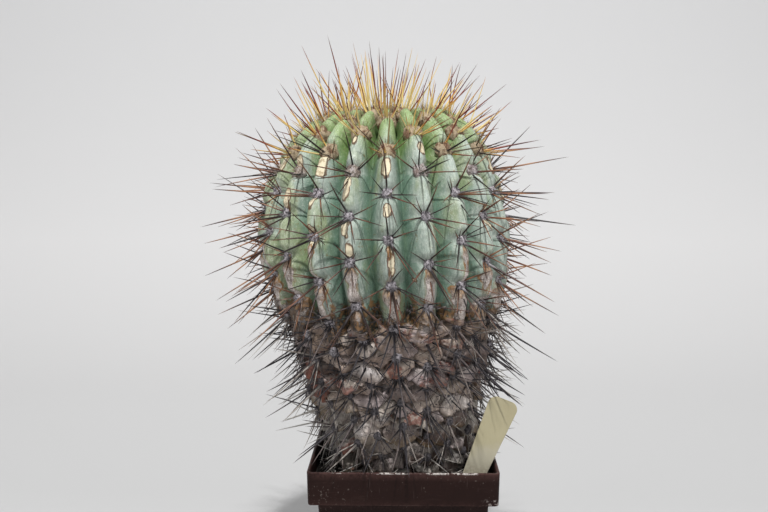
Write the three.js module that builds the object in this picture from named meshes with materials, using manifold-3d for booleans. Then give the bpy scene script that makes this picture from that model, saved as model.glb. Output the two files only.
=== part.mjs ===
// Potted Copiapoa haseltoniana: an old, solitary, spiny cactus in a square plastic pot.
// Millimetres, +Z up. The origin is the middle of the pot's underside.
import * as THREE from 'three';
import { mergeVertices } from 'three/addons/utils/BufferGeometryUtils.js';
import Module from 'manifold-3d';

const wasm = await Module();
wasm.setup();

// Driving dimensions
const clearance = 0.3;
const pot = {
  height: 112, rimWidth: 110, rimHeight: 19.4, bodyWidth: 99, baseWidth: 80, cornerRadius: 2.5,
  wall: 1.6, floor: 2, drainRadius: 4.5, drainSpacing: 46,
};
const soil = { belowRim: 11, relief: 1.2, cells: 8, holeFoot: 2.6, holeMouth: 5, holeSides: 26 };
const label = {
  width: 18, length: 96, thickness: 0.9, point: 4, shoulder: 58, shoulderWidth: 12, corner: 5,
  lean: 21.6, x: 59, y: -39.5, topAboveRim: 39,
};
const plant = {
  ribs: 21, firstRibTurn: 3.2, firstPhase: 0.67, phasePerRib: 11 / 21, grooveDepth: 9.5, corkDepth: 6.5,
  crestSwelling: 4.4, crownSwelling: 5.6, areoleSunk: 2.2, colourEdge: 171, edgeWave: 3,
  dishRadius: 21, dishDepth: 5, crownTilt: 0.09,
};
const rowsPerAreole = { green: 4, cork: 3 };
const root = { neck: 31, shoulder: 24, tip: 9, depth: 62, sides: 21 };
const felt = { radius: 20, rise: 7.5, sides: 21, spines: 26 };
const spine = {
  radius: 0.6, sunk: 1.2, seat: 2, edgeSeat: 4.5, clearFrom: 9.5, spread: 1, sides: 3, gap: 0.3,
};

// Crest of a rib, from the middle of the crown down to the grit: [radius, height above the rim]
const crestLine = [
  [0, 201], [14, 203], [27, 203.5], [40, 199], [51, 191], [60, 179.5], [67.5, 164], [72.5, 146],
  [74, 126], [71.5, 107], [66, 86], [59, 62], [52.5, 38], [48, 15], [43.5, -1], [37.5, -15],
];
// The stem leans a little: [height above the rim, sideways offset]
const leanLine = [
  [-15, -0.5], [20, -2.5], [60, -6.5], [105, -10.3], [145, -12.6], [180, -12.5], [203, -11.5],
];

// Spines of one areole. clock is degrees round the areole, 0 towards the crown; tilt is degrees off the skin.
const spineKinds = [
  { name: 'central', clock: 180, tilt: 72, length: 38 },
  { name: 'second', clock: -8, tilt: 62, length: 28 },
  { name: 'left', clock: -82, tilt: 40, length: 24 },
  { name: 'right', clock: 82, tilt: 40, length: 24 },
  { name: 'lowerLeft', clock: -122, tilt: 36, length: 28 },
  { name: 'lowerRight', clock: 122, tilt: 36, length: 28 },
  { name: 'lowest', clock: 162, tilt: 32, length: 24 },
];
// Which of them stand on every second areole
const spinesKept = { green: [[0, 1, 2, 5], [0, 3, 4, 6]], cork: [[0, 5], [0, 4, 6]] };

const { lerp, clamp, smoothstep, degToRad } = THREE.MathUtils;
const turn = Math.PI * 2;
const rimTop = pot.height;

// Repeatable number from 0 to 1 for one spine of one areole
function draw(rib, row, index, channel) {
  const value = Math.sin(rib * 12.9898 + row * 78.233 + index * 37.719 + channel * 9.131) * 43758.5453;
  return value - Math.floor(value);
}

// Closed geometry to solid, and solid to named mesh
function solidFrom(geometry) {
  const bare = geometry.clone();
  bare.deleteAttribute('normal');
  bare.deleteAttribute('uv');
  const merged = mergeVertices(bare, 1e-4);
  const corners = [];
  for (let i = 0; i < merged.index.count; i += 3) {
    const [a, b, c] = [0, 1, 2].map((step) => merged.index.getX(i + step));
    if (a !== b && b !== c && c !== a) {
      corners.push(a, b, c);
    }
  }
  const vertProperties = new Float32Array(merged.attributes.position.array);
  return new wasm.Manifold(new wasm.Mesh({ numProp: 3, vertProperties, triVerts: new Uint32Array(corners) }));
}

function meshFrom(solid, name, colour, roughness) {
  const { vertProperties, triVerts } = solid.getMesh();
  const geometry = new THREE.BufferGeometry();
  geometry.setAttribute('position', new THREE.BufferAttribute(new Float32Array(vertProperties), 3));
  geometry.setIndex(new THREE.BufferAttribute(new Uint32Array(triVerts), 1));
  geometry.computeVertexNormals();
  const material = new THREE.MeshStandardMaterial({ color: colour, roughness, metalness: 0 });
  const mesh = new THREE.Mesh(geometry, material);
  mesh.name = name;
  return mesh;
}

// Square block with rounded corners, whose width changes from bottom to top
function taperedBlock(bottomWidth, topWidth, bottom, top) {
  const half = topWidth / 2;
  const inner = half - pot.cornerRadius;
  const outline = new THREE.Shape();
  outline.absarc(inner, -inner, pot.cornerRadius, -turn / 4, 0);
  outline.absarc(inner, inner, pot.cornerRadius, 0, turn / 4);
  outline.absarc(-inner, inner, pot.cornerRadius, turn / 4, turn / 2);
  outline.absarc(-inner, -inner, pot.cornerRadius, turn / 2, turn * 0.75);
  outline.closePath();
  const depth = top - bottom;
  const geometry = new THREE.ExtrudeGeometry(outline, { depth, bevelEnabled: false, curveSegments: 4 });
  const position = geometry.attributes.position;
  for (let i = 0; i < position.count; i += 1) {
    const scale = position.getZ(i) > 0 ? 1 : bottomWidth / topWidth;
    position.setXY(i, position.getX(i) * scale, position.getY(i) * scale);
  }
  geometry.translate(0, 0, bottom);
  return solidFrom(geometry);
}

// The pot's inside is one tapered space under the band and a wider one within it
const bandFoot = rimTop - pot.rimHeight;
const ledge = bandFoot + pot.wall;

function potSpace(shrink, top) {
  const less = 2 * pot.wall + shrink;
  const below = taperedBlock(pot.baseWidth - less, pot.bodyWidth - less, pot.floor + shrink / 2, ledge + 1);
  const within = pot.rimWidth - less;
  return below.add(taperedBlock(within - 1, within, ledge + shrink / 2, top));
}

function makePot() {
  const outside = taperedBlock(pot.baseWidth, pot.bodyWidth, 0, bandFoot + 1)
    .add(taperedBlock(pot.rimWidth - 1, pot.rimWidth, bandFoot, rimTop));
  let shell = outside.subtract(potSpace(0, rimTop + 1));
  const drain = new THREE.CylinderGeometry(pot.drainRadius, pot.drainRadius, 3 * pot.floor, 12);
  drain.rotateX(turn / 4);
  for (const x of [-pot.drainSpacing / 2, pot.drainSpacing / 2]) {
    for (const y of [-pot.drainSpacing / 2, pot.drainSpacing / 2]) {
      shell = shell.subtract(solidFrom(drain.clone().translate(x, y, 0)));
    }
  }
  return meshFrom(shell, 'pot', 0x2d1e1c, 0.5);
}

// Blank plant label, pushed into the grit at a slant. swell grows it all round.
function labelSolid(swell) {
  const half = label.width / 2 + swell;
  const bottom = -label.length - swell;
  const waist = label.shoulderWidth / 2 + swell;
  const outline = new THREE.Shape();
  outline.moveTo(-label.point / 2 - swell, bottom);
  outline.lineTo(label.point / 2 + swell, bottom);
  outline.lineTo(waist, -label.shoulder);
  outline.lineTo(half, swell - label.corner);
  outline.quadraticCurveTo(half, swell, half - label.corner, swell);
  outline.lineTo(label.corner - half, swell);
  outline.quadraticCurveTo(-half, swell, -half, swell - label.corner);
  outline.lineTo(-waist, -label.shoulder);
  outline.closePath();
  const depth = label.thickness + 2 * swell;
  const geometry = new THREE.ExtrudeGeometry(outline, { depth, bevelEnabled: false, curveSegments: 4 });
  geometry.rotateX(turn / 4);
  geometry.translate(0, depth / 2, 0);
  geometry.rotateY(degToRad(label.lean));
  geometry.translate(label.x, label.y, rimTop + label.topAboveRim);
  return solidFrom(geometry);
}

// The stem's surface is measured by arc, the distance along the crest from the middle of the crown
const meridian = new THREE.SplineCurve(crestLine.map(([radius, height]) => (
  new THREE.Vector2(radius, rimTop + height)
)));
meridian.arcLengthDivisions = 1500;
const arcLength = meridian.getLength();
const leanCurve = new THREE.SplineCurve(leanLine.map(([height, offset]) => (
  new THREE.Vector2(rimTop + height, offset)
)));
const leanPoints = leanCurve.getPoints(120);

function axisOffset(z) {
  const after = clamp(leanPoints.findIndex((p) => p.x > z), 1, leanPoints.length - 1);
  const [a, b] = z > leanPoints.at(-1).x ? leanPoints.slice(-2) : [leanPoints[after - 1], leanPoints[after]];
  return lerp(a.y, b.y, clamp((z - a.x) / (b.x - a.x), 0, 1));
}

// Areoles of one rib stand close in the crown, wide apart on the green and close again on the cork
function areolePitch(arc) {
  const green = lerp(9, 25.5, clamp(arc / 45, 0, 1));
  return lerp(green, 14.5, smoothstep(arc, plant.colourEdge - 8, plant.colourEdge + 8));
}

// Areoles counted from the middle of the crown down to an arc
const arcStep = 0.5;
const counts = [0];
while (counts.length * arcStep < arcLength + arcStep) {
  counts.push(counts.at(-1) + arcStep / areolePitch((counts.length - 0.5) * arcStep));
}

function countAtArc(arc) {
  const place = clamp(arc / arcStep, 0, counts.length - 1.001);
  return lerp(counts[Math.floor(place)], counts[Math.floor(place) + 1], place % 1);
}

function arcAtCount(count) {
  const after = clamp(counts.findIndex((c) => c > count), 1, counts.length - 1);
  return (after - 1 + (count - counts[after - 1]) / (counts[after] - counts[after - 1])) * arcStep;
}

function ribPhase(rib) {
  return (plant.firstPhase + rib * plant.phasePerRib) % 1;
}

// Direction out of the stem's axis at a place across a rib, side -0.5 to 0.5 with 0 on the crest
function ribAngle(rib, side) {
  return degToRad(plant.firstRibTurn - 90 + (rib + side) * 360 / plant.ribs);
}

function edgeArc(rib, side) {
  const angle = ribAngle(rib, side);
  return plant.colourEdge + plant.edgeWave * (0.6 * Math.sin(angle * 3 + 1) + 0.4 * Math.sin(angle * 8));
}

// Smooth place on the crest surface: a point, the way out and the way up
function skinFrame(angle, arc) {
  const place = clamp(arc / arcLength, 0, 1);
  const point = meridian.getPointAt(place);
  const along = meridian.getTangentAt(place);
  const away = new THREE.Vector3(Math.cos(angle), Math.sin(angle), 0);
  const top = new THREE.Vector3(0, 0, 1);
  const out = away.clone().multiplyScalar(-along.y).addScaledVector(top, along.x);
  const up = away.clone().multiplyScalar(-along.x).addScaledVector(top, -along.y);
  const at = away.clone().multiplyScalar(point.x).setZ(point.y);
  at.x += axisOffset(point.y);
  const tilted = Math.max(point.x - plant.dishRadius, 0) * (1 - smoothstep(arc, 60, 130));
  at.z += plant.crownTilt * tilted * Math.cos(angle);
  return { at, out, up };
}

// Ribs with sharp grooves. On the green the crest swells between two areoles, which sit sunk between the
// swellings; the cork is notched and rough
function stemPoint(rib, side, arc) {
  const { at, out } = skinFrame(ribAngle(rib, side), arc);
  const cork = smoothstep(arc, plant.colourEdge - 6, plant.colourEdge + 8);
  const fade = smoothstep(arc, plant.dishRadius, plant.dishRadius + 12) * smoothstep(arcLength - arc, 0, 9);
  const crown = 1 - smoothstep(arc, 34, 88);
  const across = Math.abs(side * 2);
  const fromAreole = countAtArc(arc) - ribPhase(rib);
  const below = fromAreole - Math.floor(fromAreole);
  const swelling = smoothstep(below, 0, lerp(0.26, 0.16, crown)) * (1 - smoothstep(below, 0.72, 1));
  const breadth = 1 - smoothstep(across, lerp(0.1, 0.5, crown), lerp(0.95, 0.98, crown));
  const swollen = lerp(plant.crestSwelling, plant.crownSwelling, crown) * swelling * breadth;
  const green = swollen - plant.areoleSunk - plant.grooveDepth * across ** lerp(1.6, 2.5, crown);
  const groove = across ** 2.3;
  const wave = (1 + Math.cos(fromAreole * turn)) / 2;
  const rough = 2.4 * (draw(rib, Math.round(fromAreole * 3), Math.round(side * 4), 7) - 0.5);
  const notched = 4.2 * (1 - wave) * (1 - groove) + plant.corkDepth * groove;
  return at.addScaledVector(out, fade * lerp(green, rough - notched, cork));
}

// Columns of the stem's surface: both flanks, the crest and the groove of each rib
const sides = [-0.27, 0, 0.27, 0.5];
const columns = [];
for (let rib = 0; rib < plant.ribs; rib += 1) {
  columns.push(...sides.map((side) => ({ rib, side })));
}

// How far a row slides along a rib so that it runs over that rib's areoles
function rowSlide(rib, side, rows) {
  const own = (ribPhase(rib) * rows - Math.round(ribPhase(rib) * rows)) / rows;
  const next = (rib + Math.sign(side) + plant.ribs) % plant.ribs;
  const other = (ribPhase(next) * rows - Math.round(ribPhase(next) * rows)) / rows;
  return lerp(own, (own + other) / 2, Math.abs(side * 2));
}

// Closed body of revolution whose rows of vertices are placed by a formula, with a pole at either end
function displacedLathe(rowCount, placeVertex) {
  const outline = Array.from({ length: rowCount }, (_, row) => (
    new THREE.Vector2(row % (rowCount - 1) === 0 ? 0 : 1, row)
  ));
  const geometry = new THREE.LatheGeometry(outline, columns.length);
  const position = geometry.attributes.position;
  for (let i = 0; i < position.count; i += 1) {
    const column = columns[Math.floor(i / rowCount) % columns.length];
    const { x, y, z } = placeVertex(column, i % rowCount);
    position.setXYZ(i, x, y, z);
  }
  return solidFrom(geometry);
}

function countsBetween(firstArc, lastArc, rows) {
  const first = Math.ceil(countAtArc(firstArc) * rows);
  const last = Math.floor(countAtArc(lastArc) * rows);
  return Array.from({ length: last - first + 1 }, (_, step) => (first + step) / rows);
}

const edgeMargin = plant.edgeWave + 3.5;
const edgeCentre = skinFrame(0, plant.colourEdge).at.z;

function greenBody() {
  const rows = countsBetween(plant.dishRadius + 5, plant.colourEdge - edgeMargin, rowsPerAreole.green);
  const dish = skinFrame(0, plant.dishRadius).at.z - plant.dishDepth;
  const axis = axisOffset(dish);
  return displacedLathe(rows.length + 5, ({ rib, side }, row) => {
    if (row === 0) {
      return new THREE.Vector3(axisOffset(edgeCentre), 0, edgeCentre);
    }
    if (row === 1) {
      return stemPoint(rib, side, edgeArc(rib, side));
    }
    if (row < rows.length + 2) {
      const count = rows[rows.length + 1 - row];
      const ends = row === rows.length + 1 ? 0 : 1;
      return stemPoint(rib, side, arcAtCount(count + ends * rowSlide(rib, side, rowsPerAreole.green)));
    }
    if (row === rows.length + 2) {
      return stemPoint(rib, side, plant.dishRadius);
    }
    const reach = row === rows.length + 3 ? plant.dishRadius - 1 : 0;
    const angle = ribAngle(rib, side);
    return new THREE.Vector3(axis + reach * Math.cos(angle), reach * Math.sin(angle), dish);
  });
}

function corkBody() {
  const rows = countsBetween(plant.colourEdge + edgeMargin, arcLength - 4, rowsPerAreole.cork);
  const foot = skinFrame(0, arcLength).at;
  const drop = new THREE.Vector3(0, 0, -clearance);
  const upper = displacedLathe(rows.length + 4, ({ rib, side }, row) => {
    if (row === 0) {
      return new THREE.Vector3(axisOffset(foot.z), 0, foot.z);
    }
    if (row === 1) {
      return stemPoint(rib, side, arcLength);
    }
    if (row < rows.length + 2) {
      const count = rows[rows.length + 1 - row];
      return stemPoint(rib, side, arcAtCount(count + rowSlide(rib, side, rowsPerAreole.cork)));
    }
    if (row === rows.length + 2) {
      return stemPoint(rib, side, edgeArc(rib, side)).add(drop);
    }
    return new THREE.Vector3(axisOffset(edgeCentre), 0, edgeCentre).add(drop);
  });
  return upper.add(rootSolid(0, 1));
}

// Buried root neck, a blunt taper below the foot of the stem
function rootSolid(swell, overlap) {
  const top = skinFrame(0, arcLength).at.z;
  const bottom = rimTop - root.depth - swell;
  const outline = [
    [0, bottom], [root.tip + swell, bottom], [root.shoulder + swell, rimTop - root.depth * 0.6],
    [root.neck + swell, top], [root.neck + swell, top + overlap], [0, top + overlap],
  ].map(([radius, z]) => new THREE.Vector2(radius, z));
  const geometry = new THREE.LatheGeometry(outline, root.sides);
  geometry.rotateX(turn / 4);
  geometry.translate(axisOffset(top), 0, 0);
  return solidFrom(geometry);
}

// Grit up to a little below the rim, uneven on top, with plain holes for the stem and the label
const gritTop = rimTop - soil.belowRim;

function gritHeight(x, y) {
  const broad = Math.sin(x * 0.11 + 1) * Math.cos(y * 0.13 - 0.6);
  const fine = Math.sin(x * 0.43 + y * 0.31) * Math.cos(y * 0.52 - x * 0.21);
  return soil.relief * (0.6 * broad + 0.4 * fine);
}

function makeSoil() {
  const width = pot.rimWidth;
  const height = 2 * rimTop;
  const top = new THREE.BoxGeometry(width, width, height, soil.cells, soil.cells, 1);
  top.translate(0, 0, gritTop - height / 2);
  const position = top.attributes.position;
  for (let i = 0; i < position.count; i += 1) {
    if (position.getZ(i) > 0) {
      position.setZ(i, gritTop + gritHeight(position.getX(i), position.getY(i)));
    }
  }
  const foot = skinFrame(0, arcLength).at.z;
  const lift = 3;
  const collar = [
    [0, foot - clearance], [crestLine.at(-1)[0] + soil.holeFoot, foot - clearance],
    [crestLine.at(-2)[0] + soil.holeMouth, rimTop + crestLine.at(-2)[1] + lift],
    [0, rimTop + crestLine.at(-2)[1] + lift],
  ].map(([radius, z]) => new THREE.Vector2(radius, z));
  const hole = new THREE.LatheGeometry(collar, soil.holeSides);
  hole.rotateX(turn / 4);
  hole.translate(axisOffset(foot), 0, 0);
  const grit = potSpace(2 * clearance, rimTop)
    .intersect(solidFrom(top))
    .subtract(solidFrom(hole))
    .subtract(rootSolid(clearance, 0))
    .subtract(labelSolid(clearance));
  return meshFrom(grit, 'soil', 0x2a2622, 0.95);
}

// Spines: straight needles that keep clear of the other nodes
const placed = [];

function crestRadius(z) {
  let [near, far] = [plant.dishRadius, arcLength];
  while (far - near > 0.2) {
    const middle = (near + far) / 2;
    if (meridian.getPointAt(middle / arcLength).y > z) {
      near = middle;
    } else {
      far = middle;
    }
  }
  return meridian.getPointAt(near / arcLength).x;
}

// Whether a place along a needle is free of the skin, once past its seat, and of grit, pot wall and label
function isFree(point, fromStart) {
  const above = point.z - rimTop;
  if (above < 205 && above > -14 && fromStart > spine.clearFrom) {
    const offAxis = Math.hypot(point.x - axisOffset(point.z), point.y);
    if (offAxis < crestRadius(point.z) + 0.8) {
      return false;
    }
  }
  const reach = Math.max(Math.abs(point.x), Math.abs(point.y));
  if (point.z < gritTop + 2 || (above < 1.5 && reach > pot.rimWidth / 2 - 4)) {
    return false;
  }
  const alongLabel = (above - label.topAboveRim) * Math.tan(degToRad(label.lean)) + label.x;
  const nearLabel = Math.abs(point.y - label.y) < 2 && Math.abs(point.x - alongLabel) < label.width / 2 + 3;
  return !(nearLabel && above < label.topAboveRim + 2);
}

// Shortest distance between two needles, taken as straight lines
function needleDistance(a, b) {
  const pathA = a.tip.clone().sub(a.start);
  const pathB = b.tip.clone().sub(b.start);
  const between = a.start.clone().sub(b.start);
  const [aa, bb, ab] = [pathA.lengthSq(), pathB.lengthSq(), pathA.dot(pathB)];
  const [da, db] = [pathA.dot(between), pathB.dot(between)];
  const flat = Math.max(aa * bb - ab * ab, 1e-9);
  let s = clamp((ab * db - bb * da) / flat, 0, 1);
  const t = clamp((ab * s + db) / bb, 0, 1);
  s = clamp((ab * t - da) / aa, 0, 1);
  const onA = a.start.clone().addScaledVector(pathA, s);
  return onA.distanceTo(b.start.clone().addScaledVector(pathB, t));
}

function isClear(needle) {
  const path = needle.tip.clone().sub(needle.start);
  for (let step = 3; step <= 20; step += 1) {
    const along = path.clone().multiplyScalar(step / 20);
    if (!isFree(along.clone().add(needle.start), along.length())) {
      return false;
    }
  }
  return placed.every((other) => (
    other.tip.distanceTo(needle.start) > 95 || needleDistance(needle, other) > 2 * spine.radius + spine.gap
    || (other.node === needle.node && other.start.distanceTo(needle.start) < 5)
  ));
}

function needleSolid({ start, tip }) {
  const path = tip.clone().sub(start);
  const geometry = new THREE.ConeGeometry(spine.radius, path.length(), spine.sides, 1);
  geometry.translate(0, path.length() / 2, 0);
  const upright = new THREE.Vector3(0, 1, 0);
  geometry.applyQuaternion(new THREE.Quaternion().setFromUnitVectors(upright, path.normalize()));
  geometry.translate(start.x, start.y, start.z);
  return solidFrom(geometry);
}

// A needle of an areole, tried at slightly different slants until it is clear
function growNeedle(node, frame, rib, row, index, zone) {
  const kind = spineKinds[index];
  const beside = frame.up.clone().cross(frame.out);
  for (let attempt = 0; attempt < 5; attempt += 1) {
    const loose = 1 + attempt * 0.35;
    const shake = (channel) => draw(rib, row, index, channel + attempt * 5) - 0.5;
    const clock = degToRad(kind.clock + 34 * loose * shake(1));
    const young = lerp(kind.tilt, 55 + 0.35 * kind.tilt, zone.crown);
    const old = lerp(young, young * 0.85 + 2, zone.cork);
    const tilt = degToRad(old + 16 * loose * shake(2));
    const length = kind.length * lerp(1, 0.78, zone.cork) * lerp(1, 1.02, zone.crown) * (1 + 0.3 * shake(3));
    const flat = frame.up.clone().multiplyScalar(Math.cos(clock)).addScaledVector(beside, Math.sin(clock));
    const way = frame.out.clone().multiplyScalar(Math.sin(tilt)).addScaledVector(flat, Math.cos(tilt));
    const start = frame.at.clone().addScaledVector(frame.out, -zone.seat)
      .addScaledVector(flat, spine.spread).addScaledVector(way, -spine.sunk);
    const needle = { node, start, tip: start.clone().addScaledVector(way, length + zone.seat) };
    if (isClear(needle)) {
      placed.push(needle);
      return;
    }
  }
}

function growAreoles(node, firstArc, lastArcOf, kept) {
  for (let rib = 0; rib < plant.ribs; rib += 1) {
    for (let row = 0; row < counts.at(-1); row += 1) {
      const arc = arcAtCount(row + ribPhase(rib));
      if (arc > firstArc(rib) && arc < lastArcOf(rib)) {
        const frame = skinFrame(ribAngle(rib, 0), arc);
        frame.at = stemPoint(rib, 0, arc);
        const zone = {
          crown: 1 - smoothstep(arc, 30, 85),
          cork: smoothstep(arc, plant.colourEdge - 10, plant.colourEdge + 40),
          seat: Math.abs(arc - plant.colourEdge) < edgeMargin + 2 ? spine.edgeSeat : spine.seat,
        };
        for (const index of kept[(rib + row) % 2]) {
          growNeedle(node, frame, rib, row, index, zone);
        }
      }
    }
  }
}

// The woolly middle of the crown, low and domed, with young spines bunched upright
function feltBody() {
  const floor = skinFrame(0, plant.dishRadius).at.z - plant.dishDepth + clearance;
  const base = felt.radius - 1.2;
  const outline = [[0, floor], [base, floor], [felt.radius - 0.7, floor + 1.5]];
  for (let step = 1; step <= 5; step += 1) {
    const angle = turn / 4 * step / 5;
    outline.push([felt.radius * 0.965 * Math.cos(angle), floor + 1.5 + (felt.rise - 1.5) * Math.sin(angle)]);
  }
  outline.at(-1)[0] = 0;
  const geometry = new THREE.LatheGeometry(outline.map(([r, z]) => new THREE.Vector2(r, z)), felt.sides);
  geometry.rotateX(turn / 4);
  geometry.translate(axisOffset(floor), 0, 0);
  return solidFrom(geometry);
}

function growFeltNeedles() {
  const floor = skinFrame(0, plant.dishRadius).at.z - plant.dishDepth;
  const axis = axisOffset(floor);
  for (let index = 0; index < felt.spines; index += 1) {
    const reach = 0.86 * Math.sqrt((index + 0.5) / felt.spines);
    const angle = index * 2.39996;
    const height = floor + 1 + (felt.rise - 2) * Math.sqrt(1 - reach * reach);
    const away = new THREE.Vector3(Math.cos(angle), Math.sin(angle), 0);
    const start = new THREE.Vector3(axis, 0, height - 1).addScaledVector(away, reach * felt.radius);
    const splay = degToRad(6 + 24 * reach + 10 * (draw(index, 1, 2, 3) - 0.5));
    const way = away.multiplyScalar(Math.sin(splay)).add(new THREE.Vector3(0, 0, Math.cos(splay)));
    const length = 31 + 12 * draw(index, 4, 5, 6);
    placed.push({ node: 'apex_felt', start, tip: start.clone().addScaledVector(way, length) });
  }
}

function withNeedles(body, node) {
  const needles = placed.filter((needle) => needle.node === node).map(needleSolid);
  return wasm.Manifold.union([body, ...needles]);
}

growFeltNeedles();
growAreoles('stem_green_crown', () => plant.dishRadius + 5, (rib) => edgeArc(rib, 0) - 5, spinesKept.green);
growAreoles('stem_corky_base', (rib) => edgeArc(rib, 0) + 4, () => arcLength - 12, spinesKept.cork);

const cactus = new THREE.Group();
cactus.add(makePot());
cactus.add(makeSoil());
cactus.add(meshFrom(labelSolid(0), 'plant_label', 0xc8c39b, 0.45));
cactus.add(meshFrom(withNeedles(corkBody(), 'stem_corky_base'), 'stem_corky_base', 0x8d7f78, 0.9));
cactus.add(meshFrom(withNeedles(greenBody(), 'stem_green_crown'), 'stem_green_crown', 0x7fae8e, 0.65));
cactus.add(meshFrom(withNeedles(feltBody(), 'apex_felt'), 'apex_felt', 0x8a6a48, 0.95));

export default cactus;
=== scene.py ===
import itertools
import math

import bmesh
import bpy
import numpy as np
from mathutils import Matrix


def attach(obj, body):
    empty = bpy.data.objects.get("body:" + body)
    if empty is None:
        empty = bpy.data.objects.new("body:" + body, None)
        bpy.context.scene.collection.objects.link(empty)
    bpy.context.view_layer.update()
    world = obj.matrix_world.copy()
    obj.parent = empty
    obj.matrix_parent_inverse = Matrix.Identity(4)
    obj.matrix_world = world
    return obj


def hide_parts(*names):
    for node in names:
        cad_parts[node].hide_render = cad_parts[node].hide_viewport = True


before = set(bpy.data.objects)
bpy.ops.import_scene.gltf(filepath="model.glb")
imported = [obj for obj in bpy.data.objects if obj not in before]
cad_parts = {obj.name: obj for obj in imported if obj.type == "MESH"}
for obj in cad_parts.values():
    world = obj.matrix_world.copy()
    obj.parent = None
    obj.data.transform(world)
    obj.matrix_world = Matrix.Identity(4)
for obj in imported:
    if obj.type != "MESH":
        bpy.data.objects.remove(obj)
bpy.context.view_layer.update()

# Potted Copiapoa haseltoniana. Shapes are worked out in millimetres, as in the CAD, and scaled as they become meshes.
mm = 0.001
fullTurn = 2 * math.pi
goldenTurn = 2.39996


# Numbers over whole arrays

def smooth(value, low, high):
    part = np.clip((value - low) / (high - low), 0, 1)
    return part * part * (3 - 2 * part)


def blend(a, b, part):
    return a + (b - a) * part


def draw(rib, row, index, channel):  # the CAD's own repeatable numbers from 0 to 1
    value = np.sin(rib * 12.9898 + row * 78.233 + index * 37.719 + channel * 9.131) * 43758.5453
    return value - np.floor(value)


def lumps(points, size, seed):  # smooth repeatable noise from -1 to 1, with lumps of that size
    place = points / np.asarray(size, float) + seed * 17.31
    cell = np.floor(place)
    part = place - cell
    part = part * part * (3 - 2 * part)
    total = np.zeros(len(points))
    for corner in itertools.product((0, 1), repeat=3):
        at = cell + corner
        value = np.sin(at[:, 0] * 127.1 + at[:, 1] * 311.7 + at[:, 2] * 74.7 + seed) * 43758.5453
        weight = np.prod(np.where(corner, part, 1 - part), axis=1)
        total += weight * (value - np.floor(value))
    return 2 * total - 1


def layered(points, *layers):  # lumps of several kinds, each given by its height, size and seed
    return sum(height * lumps(points, size, seed) for height, size, seed in layers)


def onCircle(middle, radius, angle, height):  # places round an upright line at x = middle
    return np.stack(np.broadcast_arrays(middle + radius * np.cos(angle), radius * np.sin(angle), height), -1)


def unit(vectors):
    return vectors / np.linalg.norm(vectors, axis=-1, keepdims=True)


# Shader maths: a wire is a socket that something comes out of

class Wire:
    def __init__(self, paint, socket):
        self.paint = paint
        self.socket = socket

    def reckon(self, operation, *values):
        return self.paint.node("ShaderNodeMath", {"operation": operation}, dict(enumerate(values)))

    def __add__(self, other):
        return self.reckon("ADD", self, other)

    def __radd__(self, other):
        return self.reckon("ADD", other, self)

    def __sub__(self, other):
        return self.reckon("SUBTRACT", self, other)

    def __rsub__(self, other):
        return self.reckon("SUBTRACT", other, self)

    def __mul__(self, other):
        return self.reckon("MULTIPLY", self, other)

    def __rmul__(self, other):
        return self.reckon("MULTIPLY", other, self)


class Paint:
    def __init__(self, name, **constants):
        self.material = bpy.data.materials.new(name)
        self.material.use_nodes = True
        self.tree = self.material.node_tree
        self.shader = self.tree.nodes["Principled BSDF"]
        self.finish(**constants)

    def node(self, kind, settings=None, values=None, output=0):
        made = self.tree.nodes.new(kind)
        for key, value in (settings or {}).items():
            if key == "stops":
                self.setStops(made.color_ramp, value)
            else:
                setattr(made, key, value)
        for key, value in (values or {}).items():
            self.plug(made.inputs[key], value)
        return Wire(self, made.outputs[output])

    def setStops(self, ramp, stops):
        while len(ramp.elements) < len(stops):
            ramp.elements.new(1)
        for element, (place, colour) in zip(ramp.elements, stops):
            element.position = place
            element.color = (*colour, 1)

    def plug(self, socket, value):
        if isinstance(value, Wire):
            self.tree.links.new(value.socket, socket)
        elif socket.type == "RGBA":
            socket.default_value = (*value, 1)
        else:
            socket.default_value = value

    def place(self):
        return self.node("ShaderNodeTexCoord", output=3)

    def field(self, name):  # a number that the mesh carries; where a piece lacks it, 0
        return self.node("ShaderNodeAttribute", {"attribute_name": name}, output=2)

    def part(self, vector, axis):
        return self.node("ShaderNodeSeparateXYZ", None, {0: vector}, axis)

    def noise(self, vector, scale, detail, roughness):
        values = {"Vector": vector, "Scale": scale, "Detail": detail, "Roughness": roughness}
        return self.node("ShaderNodeTexNoise", None, values)

    def stretch(self, vector, factors):
        return self.node("ShaderNodeMapping", None, {0: vector, 3: factors})

    def join(self, x, y, z):
        return self.node("ShaderNodeCombineXYZ", None, {0: x, 1: y, 2: z})

    def step(self, value, low, high):
        settings = {"interpolation_type": "SMOOTHSTEP"}
        return self.node("ShaderNodeMapRange", settings, {0: value, 1: low, 2: high})

    def mix(self, factor, a, b):
        return self.node("ShaderNodeMix", {"data_type": "RGBA"}, {0: factor, 6: a, 7: b}, 2)

    def shade(self, colour, amount):  # the colour made darker or lighter all over by a number
        settings = {"data_type": "RGBA", "blend_type": "MULTIPLY"}
        grey = self.join(amount, amount, amount)
        return self.node("ShaderNodeMix", settings, {0: 1.0, 6: colour, 7: grey}, 2)

    def ramp(self, value, stops):
        return self.node("ShaderNodeValToRGB", {"stops": stops}, {0: value})

    def bump(self, height, distance):
        return self.node("ShaderNodeBump", None, {"Distance": distance, "Height": height})

    def finish(self, **values):
        for key, value in values.items():
            self.plug(self.shader.inputs[key.replace("_", " ")], value)
        return self.material


# Meshes

def meshFrom(bm, name):
    mesh = bpy.data.meshes.new(name)
    bm.to_mesh(mesh)
    bm.free()
    return mesh


def bmeshOf(mesh):
    bm = bmesh.new()
    bm.from_mesh(mesh)
    return bm


def putBack(bm, mesh):  # a finished bmesh into its mesh, with every face turned outwards
    bmesh.ops.recalc_face_normals(bm, faces=bm.faces)
    bm.to_mesh(mesh)
    bm.free()
    return mesh


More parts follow.
